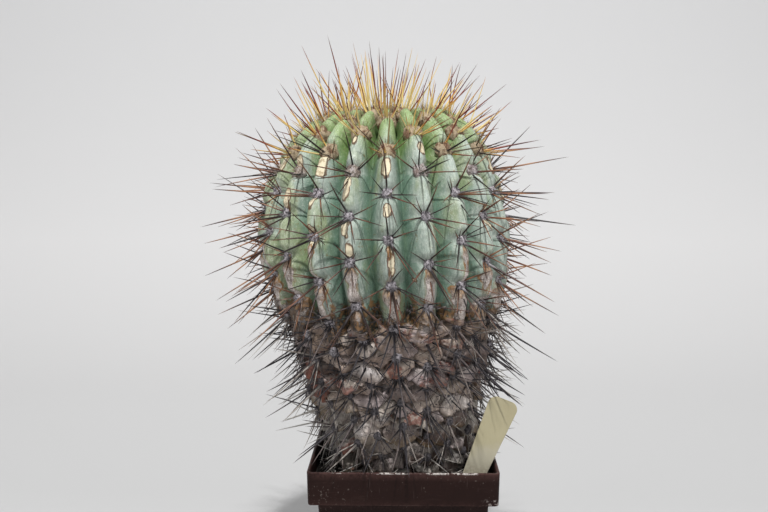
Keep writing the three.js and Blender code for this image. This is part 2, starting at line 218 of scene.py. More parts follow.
def pointsOf(mesh):
    flat = np.zeros(len(mesh.vertices) * 3, np.float32)
    mesh.vertices.foreach_get("co", flat)
    return flat.reshape(-1, 3).astype(float)


def movePoints(mesh, points):
    mesh.vertices.foreach_set("co", (points * mm).astype(np.float32).ravel())
    mesh.update()


def giveFields(mesh, fields):
    for name, values in fields.items():
        attribute = mesh.attributes.new(name, "FLOAT", "POINT")
        attribute.data.foreach_set("value", np.asarray(values, np.float32).ravel())


def openShell(name, rowCount, columnCount):  # a grid to be rolled up, and the column and row of each point
    bm = bmesh.new()
    bmesh.ops.create_grid(bm, x_segments=columnCount, y_segments=rowCount - 1, size=1)
    mesh = meshFrom(bm, name)
    part = (pointsOf(mesh)[:, :2] + 1) / 2
    column = np.round(part[:, 0] * columnCount).astype(int) % columnCount
    return mesh, column, np.round(part[:, 1] * (rowCount - 1)).astype(int)


def closeShell(mesh, points):  # rolls the grid up, joining its seam and its poles
    movePoints(mesh, points)
    bm = bmeshOf(mesh)
    bmesh.ops.remove_doubles(bm, verts=bm.verts, dist=1e-7)
    return putBack(bm, mesh)


def cutEdges(bm, edges, offset, segments):
    bmesh.ops.bevel(
        bm, geom=edges, offset=offset, offset_type="OFFSET", segments=segments, profile=0.5, affect="EDGES",
        material=-1,
    )


def smallShape(bm):  # a shape that is repeated, and its points
    bmesh.ops.triangulate(bm, faces=bm.faces)
    return bm, np.array([vert.co for vert in bm.verts])


def spunShape(profile, steps):  # a line of (radius, height) turned once round the Z axis, to be repeated
    bm = bmesh.new()
    points = [bm.verts.new((radius, 0, height)) for radius, height in profile]
    edges = [bm.edges.new(pair) for pair in zip(points, points[1:])]
    bmesh.ops.spin(bm, geom=points + edges, axis=(0, 0, 1), angle=fullTurn, steps=steps, use_merge=True)
    bmesh.ops.remove_doubles(bm, verts=bm.verts, dist=1e-6)
    bmesh.ops.recalc_face_normals(bm, faces=bm.faces)
    return smallShape(bm)


def layOut(start, *moves):  # from each start, directions and how far along each of them every point goes
    places = start[:, None]
    for way, far in moves:
        places = places + way[:, None] * far[..., None]
    return places


def meshOfCopies(name, shape, places, fields):
    # places says where the points of each copy go, and each field has one number for a copy
    bm = shape.copy()
    wanted = places.shape[0] * places.shape[1]
    while len(bm.verts) < wanted:  # each round doubles them
        bmesh.ops.duplicate(bm, geom=bm.verts[:] + bm.edges[:] + bm.faces[:])
    bmesh.ops.delete(bm, geom=bm.verts[wanted:], context="VERTS")
    mesh = meshFrom(bm, name)
    movePoints(mesh, places.reshape(-1, 3))
    giveFields(mesh, {key: np.repeat(values, places.shape[1]) for key, values in fields.items()})
    return mesh


def addObject(name, data):
    made = bpy.data.objects.new(name, data)
    bpy.context.scene.collection.objects.link(made)
    return made


def showMesh(mesh, material):
    mesh.materials.append(material)
    mesh.polygons.foreach_set("use_smooth", [True] * len(mesh.polygons))
    return addObject(mesh.name, mesh)


def showPiece(mesh, material, slotName, *nodes):
    piece = showMesh(mesh, material)
    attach(piece, "root")
    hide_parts(*nodes)
    print("made", mesh.name, len(mesh.polygons), "faces")


# The stem's form, as in the CAD. Its surface is measured by arc, the way down along the crest of a rib.

stem = {
    "ribs": 21, "firstRibTurn": 3.2, "firstPhase": 0.67, "phasePerRib": 11 / 21, "grooveDepth": 9.5,
    "gapInCrown": 9, "gapOnGreen": 25.5, "gapOnBark": 14.5, "colourEdge": 171, "edgeWave": 3,
    "dishRadius": 21, "dishDepth": 5, "crownTilt": 0.09, "rimTop": 112, "columnsPerRib": 24,
    "greenRows": 176, "barkRows": 134, "neckDepth": 62, "neckWidth": 24,
    "crest": [
        (0, 201), (14, 203), (27, 203.5), (40, 199), (51, 191), (60, 179.5), (67.5, 164), (72.5, 146),
        (74, 126), (71.5, 107), (66, 86), (59, 62), (52.5, 38), (48, 15), (43.5, -1), (37.5, -15),
    ],
    "lean": [(-15, -0.5), (20, -2.5), (60, -6.5), (105, -10.3), (145, -12.6), (180, -12.5), (203, -11.5)],
}
rimTop, ribCount, colourEdge = stem["rimTop"], stem["ribs"], stem["colourEdge"]


def curveThrough(corners, perSpan=120):
    line = np.array([corners[0], *corners, corners[-1]], float)
    part = np.arange(perSpan)[:, None] / perSpan
    spans = []
    for a, b, c, d in zip(line, line[1:], line[2:], line[3:]):
        out, into = (c - a) / 2, (d - b) / 2
        cubed, squared = 2 * b - 2 * c + out + into, 3 * c - 3 * b - 2 * out - into
        spans.append(cubed * part**3 + squared * part**2 + out * part + b)
    return np.vstack([*spans, line[-1]])


crestCurve = curveThrough(stem["crest"])
crestArc = np.concatenate([[0], np.cumsum(np.linalg.norm(np.diff(crestCurve, axis=0), axis=1))])
crestWay = unit(np.gradient(crestCurve, crestArc, axis=0))
arcLength = crestArc[-1]
leanCurve = curveThrough(stem["lean"])


def leanAt(height):
    return np.interp(height, rimTop + leanCurve[:, 0], leanCurve[:, 1])


def radiusAt(arc):
    return np.interp(arc, crestArc, crestCurve[:, 0])


arcStep = 0.5
gapArc = np.arange(arcStep / 2, arcLength + 1, arcStep)
gap = blend(stem["gapInCrown"], stem["gapOnGreen"], np.clip(gapArc / 45, 0, 1))
gap = blend(gap, stem["gapOnBark"], smooth(gapArc, colourEdge - 8, colourEdge + 8))
countTable = np.concatenate([[0], np.cumsum(arcStep / gap)])  # areoles passed on the way down a rib
arcTable = np.arange(len(countTable)) * arcStep


def countAtArc(arc):
    return np.interp(arc, arcTable, countTable)


def arcAtCount(count):
    return np.interp(count, countTable, arcTable)


def ribPhase(rib):
    return (stem["firstPhase"] + (rib % ribCount) * stem["phasePerRib"]) % 1


def ribAngle(rib, side):
    return np.radians(stem["firstRibTurn"] - 90 + (rib + side) * 360 / ribCount)


def edgeArc(rib, side):  # where green turns to bark
    angle = ribAngle(rib, side)
    return colourEdge + stem["edgeWave"] * (0.6 * np.sin(angle * 3 + 1) + 0.4 * np.sin(angle * 8))


def skinFrame(angle, arc):  # smooth place on the crest surface: a point, the way out and the way up
    angle, arc = np.broadcast_arrays(np.asarray(angle, float), np.asarray(arc, float))
    radius, height = (np.interp(arc, crestArc, crestCurve[:, axis]) for axis in (0, 1))
    grow, fall = (np.interp(arc, crestArc, crestWay[:, axis]) for axis in (0, 1))
    z = rimTop + height
    tilted = np.maximum(radius - stem["dishRadius"], 0) * (1 - smooth(arc, 60, 130))
    lifted = z + stem["crownTilt"] * tilted * np.cos(angle)
    at = onCircle(leanAt(z), radius, angle, lifted)
    return at, onCircle(0, -fall, angle, grow), onCircle(0, -grow, angle, -fall)


# Old scars on the green ribs: rib, areoles from the middle of the crown, millimetres off the crest,
# half width and half length. The front ones follow the photo, and the others are drawn.
scars = [
    (0, 4.12, -0.3, 2.4, 5.2), (0, 5.05, 0.2, 2.4, 3.6), (0, 6.15, 0.6, 2.2, 7.5),
    (1, 3.72, 1.4, 1.9, 3.4), (1, 6.6, -7.2, 0.9, 0.9), (2, 3.75, 1.6, 1.1, 1.3), (2, 5.6, 3.2, 2.6, 4.5),
    (-1, 3.45, -0.8, 1.2, 2.3), (-1, 4.5, -1.2, 2.4, 7.2), (-1, 5.42, -1.4, 2.5, 5.0), (-1, 5.9, 0.9, 1.6, 4.2),
    (-2, 4.0, 0.4, 3.0, 7.0), (-2, 4.75, -1.2, 2.2, 4.6), (-2, 5.6, 0.4, 2.4, 6.4),
    (-3, 3.9, 0.9, 1.8, 4.0), (-3, 4.8, 0.4, 2.6, 5.4), (3, 4.3, 0.8, 2.0, 5.0), (3, 5.3, 0.2, 2.4, 6.0),
]
for rib, row in itertools.product(range(4, 18), range(3, 7)):
    chance, down, broad, off, slim = (draw(rib, row, index, 11) for index in range(3, 8))
    if chance < 0.5:
        wide = blend(1.2, 2.8, broad)
        count = row + ribPhase(rib) + blend(0.3, 0.7, down)
        scars.append((rib, count, 3 * off - 1.5, wide, wide * blend(1.2, 3, slim)))


def scarField(rib, side, arc, points):  # millimetres inside the nearest scar, less than 0 outside
    field = np.full(len(arc), -6.0)
    width = radiusAt(arc) * fullTurn / ribCount
    ragged = layered(points, (0.9, 2.8, 31), (0.45, 1.2, 32))
    for scarRib, count, off, wide, long in scars:
        near = rib == scarRib % ribCount
        across = np.abs(side[near] * width[near] - off) / wide
        along = np.abs(arc[near] - arcAtCount(count)) / long
        inside = (1 - (across**2.5 + along**2.5) ** 0.4) * wide + ragged[near] * min(1, wide / 2)
        field[near] = np.maximum(field[near], inside)
    return field


# Slabs of old bark: ledges of uneven size, each with its lower rim standing out

def slabField(rib, side, arc, at):
    radius = radiusAt(arc)
    warpAcross, warpAlong = layered(at, (1.9, 8, 41), (0.8, 3, 42)), layered(at, (1.6, 9, 43), (0.7, 3.2, 44))
    found = []
    for half, ribStep, rowStep in itertools.product((0, 0.5), (-2, -1, 0, 1, 2), (-1, 0, 1)):
        own = rib + ribStep
        row = np.floor(countAtArc(arc) - ribPhase(own)) + rowStep
        seeds = [draw(own % ribCount, row, channel, 21 + 2 * half) for channel in range(1, 8)]
        middle = arcAtCount(row + 0.5 + half + ribPhase(own)) + 8 * (seeds[0] - 0.5)
        across = (side - ribStep - half - 0.7 * (seeds[1] - 0.5)) * fullTurn / ribCount * radius + warpAcross
        along = arc - middle + warpAlong
        lean = 0.5 * (seeds[2] - 0.5)
        across, along = across + lean * along, along - lean * across
        size = blend(0.8, 1.25, seeds[3]) * blend(1, 0.5 + seeds[6], half)
        away = (np.abs(across * 0.64) ** 3 + np.abs(along * 1.35) ** 3) ** (1 / 3) / size
        away += 40 * (seeds[6] < (0.45 if half else 0.5 * (1 - smooth(radius, 46, 64))))  # some slabs are missing
        found.append(np.stack([away, across, along, seeds[4], seeds[5]]))
    found = np.stack(found)
    order = np.argsort(found[:, 0], axis=0)
    first, second = (np.take_along_axis(found, order[None, i][:, None], 0)[0] for i in (0, 1))
    return {
        "crevice": (second[0] - first[0]) / 2, "across": first[1], "along": first[2],
        "toneA": first[3], "toneB": first[4],
    }


def stemSkin(rib, side, arc):  # the stem's surface with all its relief, and the fields its colours follow
    at, out = skinFrame(ribAngle(rib, side), arc)[:2]
    edge = edgeArc(rib, side)
    s = np.abs(side * 2)
    fromAreole = countAtArc(arc) - ribPhase(rib)
    u = fromAreole - np.floor(fromAreole)
    crown = 1 - smooth(arc, 34, 88)
    groove = s ** blend(1.6, 2.5, crown)
    cork = smooth(arc + layered(at, (8, 10, 3), (6, 4, 4), (3, 1.6, 15)), edge - 5, edge + 3)

    # green skin: a swollen tongue between one areole and the next, a brow over each areole, wrinkles
    swell = smooth(u, 0.0, blend(0.26, 0.16, crown)) * (1 - smooth(u, 0.72, 1.0))
    chin = swell * blend(1 - smooth(s, 0.1, 0.95), 1 - smooth(s, 0.5, 0.98), crown)
    brow = np.exp(-(((u - 0.87) / 0.035) ** 2)) * (1 - smooth(s, 0.12, 0.3)) * (1 - crown)
    green = blend(4.4, 5.6, crown) * chin + 0.7 * brow - 2.2 - stem["grooveDepth"] * groove
    green += 0.9 * lumps(at, (14, 14, 20), 1) * (1 - groove) + 0.35 * lumps(at, (4, 4, 9), 2)

    # grey strips low on the crests, and the sunken scars with their raised lips
    weather = arc + 15 * lumps(at, (7, 7, 18), 9) + 15 * lumps(at, (2.2, 2.2, 6), 10) - 80 * s
    weather += 14 * smooth(u, 0.0, 0.1) * (1 - smooth(u, 0.3, 0.5)) + 8 * np.exp(-(((rib - 17.3) / 1.3) ** 2))
    weather = smooth(weather, 126, 142)
    green += weather * layered(at, (0.5, 2.6, 11), (0.3, 1.3, 12)) * (1 - 0.6 * s)
    scar = scarField(rib, side, arc, at)
    green += (0.28 * np.exp(-((scar / 0.6) ** 2)) - 0.35 * smooth(scar, 0.1, 0.9)) * (1 - groove)

    # bark: slabs at different heights and slopes, thin layers in them, deep cracks between them
    slab = slabField(rib, side, arc, at)
    crevice = slab["crevice"] + 0.45 * lumps(at, 2.0, 5)
    lift = np.clip(slab["along"], -6, 6) * blend(0.1, 0.34, slab["toneA"])
    layers = slab["along"] / 2.1 + 0.9 * lumps(at, 5, 13)
    bark = 4.4 * (slab["toneA"] - 0.5) + slab["across"] * 0.4 * (slab["toneB"] - 0.5) + lift
    bark += 0.6 * (layers - np.floor(layers) - 0.5) + layered(at, (0.8, 5, 6), (0.5, 2.1, 7), (0.25, 1.2, 8))
    bark -= 4.6 * (1 - smooth(crevice, -0.1, 1.0)) + 3.2 * groove + 0.2

    fade = smooth(arc, stem["dishRadius"], stem["dishRadius"] + 12) * smooth(arcLength - arc, 0, 9)
    relief = fade * blend(green, bark, cork)
    fields = {
        "across": s, "arc": arc, "fromAreole": u, "crown": crown, "cork": cork, "scar": scar, "chin": chin,
        "crevice": np.clip(crevice, -2, 8), "below": slab["along"], "toneA": slab["toneA"],
        "toneB": slab["toneB"], "round": ribAngle(rib, side) * 70, "weather": weather,
    }
    return at + out * relief[:, None], fields


def ribAndSide(column):
    half = stem["columnsPerRib"] // 2
    rib = (column + half) // stem["columnsPerRib"]
    return rib % ribCount, (column + half) % stem["columnsPerRib"] / stem["columnsPerRib"] - 0.5


def ringPoints(rings, index, angle):
    radius, height = np.array(rings, float)[index].T
    return onCircle(leanAt(height), radius, angle, height)


def buildStem(name, arcRows, below, above, arcOf):
    # rows of skin between a few plain rings of (radius, height) that close the body inside
    mesh, column, row = openShell(name, len(below) + arcRows + len(above), ribCount * stem["columnsPerRib"])
    rib, side = ribAndSide(column)
    angle = ribAngle(rib, side)
    skinRow = np.clip(row - len(below), 0, arcRows - 1)
    points, fields = stemSkin(rib, side, arcOf(rib, side, skinRow / (arcRows - 1)))
    low, high = row < len(below), row >= len(below) + arcRows
    points[low] = ringPoints(below, row[low], angle[low])
    points[high] = ringPoints(above, row[high] - len(below) - arcRows, angle[high])
    giveFields(mesh, fields)
    return closeShell(mesh, points)


# Colours of the skin, green and bark in one material for each body. Two colours are the ends of a mottled range.

skinTone = {
    "flank": ((0.085, 0.178, 0.13), (0.208, 0.305, 0.226)), "crest": ((0.23, 0.325, 0.265), (0.6, 0.645, 0.59)),
    "fresh": ((0.105, 0.225, 0.055), (0.28, 0.39, 0.145)), "tongue": (0.36, 0.46, 0.23),
    "yellowed": (0.3, 0.35, 0.13), "groove": (0.045, 0.1, 0.055), "fleck": (0.7, 0.72, 0.64),
    "smudge": (0.13, 0.12, 0.06),
    "litter": ((0.016, 0.012, 0.01), (0.19, 0.1, 0.04)), "browned": ((0.03, 0.02, 0.01), (0.2, 0.12, 0.045)),
}
scarTone = {
    "cream": ((0.6, 0.5, 0.33), (0.85, 0.79, 0.6)), "rust": ((0.075, 0.04, 0.014), (0.3, 0.165, 0.06)),
    "grey": (0.4, 0.36, 0.34), "stain": (0.3, 0.21, 0.1), "line": (0.1, 0.045, 0.02),
}
stripTone = {
    "cork": ((0.25, 0.195, 0.165), (0.62, 0.56, 0.525)), "crack": (0.1, 0.065, 0.055),
    "rust": (0.19, 0.095, 0.035), "border": (0.25, 0.12, 0.04),
}
barkTone = {
    "slabs": [
        (0.0, (0.11, 0.075, 0.06)), (0.2, (0.22, 0.175, 0.16)), (0.4, (0.4, 0.335, 0.33)),
        (0.6, (0.3, 0.225, 0.185)), (0.8, (0.5, 0.41, 0.35)), (1.0, (0.6, 0.55, 0.53)),
    ],
    "foot": (0.33, 0.32, 0.285), "rim": (0.1, 0.055, 0.035), "footRim": (0.14, 0.09, 0.035),
    "slabTopHighlight": (0.42, 0.4, 0.37), "scab": ((0.1, 0.026, 0.02), (0.28, 0.085, 0.055)),
    "young": (0.2, 0.135, 0.08), "crevice": (0.028, 0.019, 0.015),
}


def skinPaint(name, roughness):
    paint = Paint(name, Roughness=roughness, Specular_IOR_Level=0.35)
    place, mix, step = paint.place(), paint.mix, paint.step
    patches, mottle = paint.noise(place, 70.0, 4.0, 0.6), paint.noise(place, 210.0, 4.0, 0.65)
    specks, grain = paint.noise(place, 420.0, 3.0, 0.6), paint.noise(place, 900.0, 3.0, 0.65)
    patch, speck = patches - 0.5, specks - 0.5  # the same noises, above and below 0
    yellowed = paint.noise(paint.stretch(place, (1, 1, 0.5)), 45.0, 3.0, 0.6)
    around, arc = paint.field("round"), paint.field("arc")
    streaks = paint.noise(paint.join(around, arc * 0.16, 0.0), 1.3, 4.0, 0.6)
    fine = paint.noise(paint.join(around, arc * 0.3, 7.0), 3.4, 4.0, 0.65)
    across, crown, cork, u = (paint.field(key) for key in ("across", "crown", "cork", "fromAreole"))
    toneA, toneB = paint.field("toneA"), paint.field("toneB")

    # waxy skin: blue green on the flanks, a pale bloom on the crests, fresh green in the crown
    bloom = 1 - step(across + patch * 0.6 - 0.2 * u, 0.1, 0.8)
    skin = mix(bloom, mix(patches, *skinTone["flank"]), mix(streaks, *skinTone["crest"]))
    toLeft = step(paint.part(place, 0), -0.03, -0.075)
    skin = mix(step(yellowed + toLeft * 0.14, 0.48, 0.66) * 0.55, skin, skinTone["yellowed"])
    tongue = step(paint.field("chin"), 0.3, 0.9)
    fresh = mix(tongue * 0.45, mix(streaks, *skinTone["fresh"]), skinTone["tongue"])
    skin = mix(step(crown + patch * 0.4 + across * 0.4, 0.3, 0.95), skin, fresh)
    # painted shade: the grooves between the ribs darkened towards deep green
    skin = mix(step(across, 0.88, 1.0) * 0.6, skin, skinTone["groove"])
    depth = (0.72 + 0.4 * streaks) * (0.36 + 0.6 * mottle + 0.28 * specks + 0.4 * grain)
    # painted shade: from about the widest part of the head down to the bark, the green is darkened by up to a fifth
    skin = paint.shade(skin, depth * (1 - 0.2 * step(arc, 112.0, 160.0)))
    flecks = step(fine * 0.7 + streaks * 0.3, 0.52, 0.62)
    skin = mix(flecks * (0.25 + 0.75 * bloom) * 0.5, skin, skinTone["fleck"])
    skin = mix(step(mottle + speck * 0.5, 0.64, 0.74) * 0.4, skin, skinTone["smudge"])

    # scars: cream cork with a brown line round it
    scar = paint.field("scar") + speck * 0.5
    rust = mix(step(specks, 0.35, 0.65), *scarTone["rust"])
    oldPart = step(arc + patch * 70.0, 118.0, 165.0)
    cream = mix(step(patches + oldPart * 0.5, 0.62, 0.85), mix(patches, *scarTone["cream"]), rust)
    cream = mix(step(streaks, 0.56, 0.7) * oldPart, cream, scarTone["grey"])
    cream = mix(step(mottle + speck * 0.4, 0.55, 0.64) * 0.6, cream, scarTone["stain"])
    line = step(scar, -0.5, -0.1) * (1 - step(scar, 0.05, 0.45))
    skin = mix(step(scar, -0.1, 0.15), skin, cream)
    skin = mix(line * 0.9, skin, scarTone["line"])

    # weathered crests low on the green: grey cork with an orange-brown border, rust under the areoles
    weather = paint.field("weather") + speck * 0.35
    strip = mix(step(fine * 0.6 + mottle * 0.4, 0.38, 0.56), *stripTone["cork"])
    strip = mix(step(streaks + speck * 0.4, 0.56, 0.63) * 0.75, strip, stripTone["crack"])
    underAreole = (1 - step(u + patch * 0.6, 0.15, 0.35)) * step(u, 0.02, 0.1)
    strip = mix(underAreole * 0.75, strip, rust)
    strip = mix(step(patches + speck * 0.2, 0.56, 0.62) * 0.7, strip, stripTone["rust"])
    strip = paint.shade(strip, 0.6 + 0.7 * mottle)
    border = step(weather + (mottle - 0.5) * 0.3, 0.04, 0.2) * (0.2 + 0.7 * step(patches, 0.44, 0.58))
    skin = mix(border, skin, stripTone["border"])
    skin = mix(step(weather, 0.46, 0.62), skin, strip)

    # bark: grey, beige and mauve slabs, rust on their lower rims, red scabs, dark cracks; the upper part of each slab
    # is lightened as a painted highlight
    slab = paint.ramp(toneB + patch * 0.55, barkTone["slabs"])
    low = step(arc + patch * 60.0, 198.0, 225.0)
    slab = mix(low * step(toneA + (mottle - 0.5) * 0.9, 0.3, 0.7) * 0.6, slab, barkTone["foot"])
    below = paint.field("below") + speck * 3.0 + patch * 4.0
    slab = mix(step(below, 1.5, 5.0) * 0.6, slab, mix(low, barkTone["rim"], barkTone["footRim"]))
    # painted highlight: the upper part of each slab lightened towards a pale grey
    slab = mix((1 - step(below, -5.0, -1.5)) * 0.35, slab, barkTone["slabTopHighlight"])
    scab = step(patches + (toneA - 0.5) * 0.34 - 0.06 * step(arc, 205.0, 235.0), 0.59, 0.66)
    slab = mix(scab * 0.75, slab, mix(specks, *barkTone["scab"]))
    young = (1 - step(arc + patch * 30.0, 172.0, 190.0)) * step(mottle, 0.4, 0.58)
    slab = mix(young * 0.6, slab, barkTone["young"])
    depth = (0.77 + 0.56 * specks) * (0.72 + 0.62 * mottle) * (1 - 0.24 * step(arc, 225.0, 255.0))
    slab = paint.shade(slab, depth)
    crevice = paint.field("crevice") + speck * 0.8
    # painted shade: the cracks between the slabs darkened to near black
    slab = mix((1 - step(crevice, -0.3, 0.8)) * 0.88, slab, barkTone["crevice"])

    # where the green ends: brown skin under dark litter
    litter = step(arc + (mottle - 0.5) * 50.0 + patch * 40.0 + across * 8.0, 160.0, 169.0)
    skin = mix(litter * 0.92, skin, mix(step(mottle + speck * 0.3, 0.44, 0.62), *skinTone["litter"]))
    browned = step(cork + patch * 0.6 + speck * 0.3, 0.13, 0.35)
    skin = mix(browned * 0.85, skin, mix(step(mottle, 0.4, 0.6), *skinTone["browned"]))

    rough = step(paint.field("weather"), 0.3, 0.8)
    height = streaks * 0.35 + specks * (0.25 + 0.45 * cork + 0.5 * rough) + grain * (0.15 + 0.25 * cork)
    return paint.finish(
        Base_Color=mix(step(cork + patch * 0.9, 0.3, 0.5), skin, slab),
        Roughness=0.5 + 0.35 * cork + 0.15 * patches, Normal=paint.bump(height, 0.0005),
    )


dishHeight = skinFrame(0, stem["dishRadius"])[0][2] - stem["dishDepth"]
edgeHeight = skinFrame(0, colourEdge)[0][2]
footHeight = skinFrame(0, arcLength)[0][2]
neckHeight = rimTop - stem["neckDepth"] * 0.6
neckFloor = rimTop - stem["neckDepth"]

greenMesh = buildStem(
    "greenStem", stem["greenRows"], [(0, edgeHeight)], [(stem["dishRadius"] - 1, dishHeight), (0, dishHeight)],
    lambda rib, side, part: blend(edgeArc(rib, side), stem["dishRadius"], part),
)
showPiece(greenMesh, skinPaint("greenSkin", 0.6), "green_skin", "stem_green_crown")

neckRings = [(0, neckFloor), (9, neckFloor), (stem["neckWidth"], neckHeight), (31, footHeight)]
corkMesh = buildStem(
    "corkStem", stem["barkRows"], neckRings, [(0, edgeHeight - 0.3)],
    lambda rib, side, part: blend(arcLength, edgeArc(rib, side), part),
)
showPiece(corkMesh, skinPaint("corkSkin", 0.9), "cork_bark", "stem_corky_base")


# Areoles: where each one sits and how old it is

def listAreoles():
    found = []
    for rib, row in itertools.product(range(ribCount), range(int(countTable[-1]) + 1)):
        arc = arcAtCount(row + ribPhase(rib))
        if stem["dishRadius"] + 5 < arc < arcLength - 8:
            found.append((rib, row, arc))
    return np.array(found).T


areoleRib, areoleRow, areoleArc = listAreoles()
areoleWay = skinFrame(ribAngle(areoleRib, 0), areoleArc)
areole = {
    "at": stemSkin(areoleRib, 0 * areoleRib, areoleArc)[0], "out": areoleWay[1], "up": areoleWay[2],
    "beside": np.cross(areoleWay[2], areoleWay[1]), "crown": 1 - smooth(areoleArc, 30, 85),
    "cork": smooth(areoleArc, colourEdge - 10, colourEdge + 40),
    "atSide": np.abs(np.cos(ribAngle(areoleRib, 0))),  # 0 where it faces the photo or the back, 1 at the sides
}


def leaveAreole(who, clock, tilt, sunk):  # where spines start and which way they point
    clock, tilt = np.radians(clock)[:, None], np.radians(tilt)[:, None]
    flat = areole["up"][who] * np.cos(clock) + areole["beside"][who] * np.sin(clock)
    way = areole["out"][who] * np.sin(tilt) + flat * np.cos(tilt)
    return areole["at"][who] + flat - way * 1.2 - areole["out"][who] * sunk, way


# What spines and stones have to keep clear of

label = {
    "width": 18, "length": 96, "thickness": 0.9, "point": 4, "shoulder": 58, "shoulderWidth": 12, "corner": 5,
    "lean": 21.6, "x": 59, "y": -39.5, "topAboveRim": 39,
}
pot = {
    "rimWidth": 110, "rimHeight": 19.4, "bodyWidth": 99, "baseWidth": 80, "corner": 2.5, "wall": 1.6, "floor": 2,
    "holeSpot": 23, "holeRadius": 4.5, "sideSteps": 12, "cornerSteps": 6,
}
gritTop = rimTop - 11


def isBlocked(points):  # whether a place is in the grit, the pot's wall or the label
    x, y, z = np.moveaxis(points, -1, 0)
    above = z - rimTop
    reach = np.maximum(np.abs(x), np.abs(y))
    wall = (above < 1.5) & (reach > pot["rimWidth"] / 2 - 3)
    alongLabel = (above - label["topAboveRim"]) * math.tan(math.radians(label["lean"])) + label["x"]
    nearLabel = (y < label["y"] + 9) & (x > alongLabel - label["width"] / 2 - 2)
    return (z < gritTop + 1) | wall | (nearLabel & (above < label["topAboveRim"] + 2))


def isClear(start, way, length, first, steps):  # whether each spine keeps clear, from that part of it to its tip
    return ~isBlocked(layOut(start, (way, length[:, None] * np.linspace(first, 1, steps)))).any(axis=1)


# Spines: clock is degrees round the areole, 0 towards the crown; tilt is degrees off the skin; millimetres

spineKinds = [  # clock, tilt, length, radius, share of areoles that have it, share on the bark, bow
    (180, 72, 38, 0.6, 1.0, 0.85, 0.04),
    (-8, 62, 30, 0.48, 1.0, 0.4, 0.07),
    (-82, 38, 22, 0.42, 0.95, 0.3, 0.08),
    (82, 38, 22, 0.42, 0.95, 0.3, 0.08),
    (-122, 38, 26, 0.45, 0.92, 0.6, 0.07),
    (122, 38, 26, 0.45, 0.92, 0.6, 0.07),
    (165, 34, 22, 0.42, 0.8, 0.5, 0.06),
    (-52, 42, 17, 0.34, 0.55, 0.15, 0.08),
    (50, 44, 17, 0.34, 0.5, 0.15, 0.08),
    (205, 60, 34, 0.5, 0.5, 0.5, 0.06),
    (148, 56, 32, 0.46, 0.45, 0.5, 0.06),
]
spineVaries = {  # degrees of clock and tilt, factors on the rest, and how a blocked spine is tried again
    "mainSwing": 62, "swing": 48, "barkSwing": 34, "tilt": 16, "crownTilt": 1.9, "length": 0.5, "crownShare": 0.66,
    "greenLength": 1.07, "barkLength": (0.74, 0.98), "crownLength": 1.02, "crownRadius": 0.88,
    "radius": (0.95, 1.25), "bow": (0.3, 1.6), "tries": 9, "looser": 0.35,
}
spineShape, spinePoints = spunShape(
    [(0, 0), (1.7, 0), (1.3, 0.08), (0.95, 0.2), (0.78, 0.5), (0.5, 0.76), (0.22, 0.93), (0, 1)], 5,
)


def layStrands(points, start, way, length, radius, bend, aside):  # copies laid from their roots to their tips
    x, y, z = points.T
    sideways = unit(np.cross(way, aside))
    moves = (way, length[:, None] * z), (sideways, radius * x + bend), (np.cross(way, sideways), radius * y)
    return layOut(start, *moves)


def meshOfSpines(name, kept, start, way, length, radius, bow, fields):
    start, way, length, radius, bow = (values[kept] for values in (start, way, length, radius, bow))
    z = spinePoints[:, 2]
    bend = bow[:, None] * (z - z**2) * length[:, None]
    places = layStrands(spinePoints, start, way, length, radius[:, None], bend, [0.31, 0.52, 0.79])
    mesh = meshOfCopies(name, spineShape, places, {key: values[kept] for key, values in fields.items()})
    giveFields(mesh, {"along": np.tile(z, len(start))})
    return mesh


def growSpines():
    grown, varies = [], spineVaries
    for index, (clock0, tilt0, length0, radius, share, barkShare, bow) in enumerate(spineKinds):
        barkShare = barkShare * (1 - 0.35 * areole["atSide"])
        share = share * blend(1, 1 if index < 2 else varies["crownShare"], areole["crown"])
        wanted = draw(areoleRib, areoleRow, index, 41) < blend(share, barkShare, areole["cork"])
        for attempt in range(varies["tries"]):
            who = np.flatnonzero(wanted)
            rib, row = areoleRib[who], areoleRow[who]
            crown, cork, atSide = (areole[key][who] for key in ("crown", "cork", "atSide"))
            loose = 1 + attempt * varies["looser"]
            shake = [draw(rib, row, index, channel + attempt * 5) - 0.5 for channel in (0, 1, 2, 3)]
            swing = blend(varies["swing"] if index else varies["mainSwing"], varies["barkSwing"], cork)
            tilt = blend(tilt0, 55 + 0.35 * tilt0, crown)
            tilt = blend(tilt, tilt * 0.8 + 14, cork)
            tilt = tilt + varies["tilt"] * blend(1, varies["crownTilt"], crown) * loose * shake[2]
            start, way = leaveAreole(who, clock0 + swing * loose * shake[1], tilt, 1)
            length = length0 * blend(varies["greenLength"], blend(*varies["barkLength"], atSide), cork)
            length = length * blend(1, varies["crownLength"], crown) * (1 + varies["length"] * shake[3])
            thick = radius * blend(*varies["radius"], draw(rib, row, index, 44))
            thick = thick * blend(1, varies["crownRadius"], crown)
            sign = np.where(draw(rib, row, index, 43) < 0.5, -1, 1)
            bend = bow * sign * blend(*varies["bow"], draw(rib, row, index, 45))
            clear = isClear(start, way, length, 0.15, 14)
            parts = (start, way, length, thick, bend, crown, draw(rib, row, index, 46), areoleArc[who], atSide)
            grown.append([part[clear] for part in parts])
            wanted[who[clear]] = False
    return [np.concatenate(part) for part in zip(*grown)]


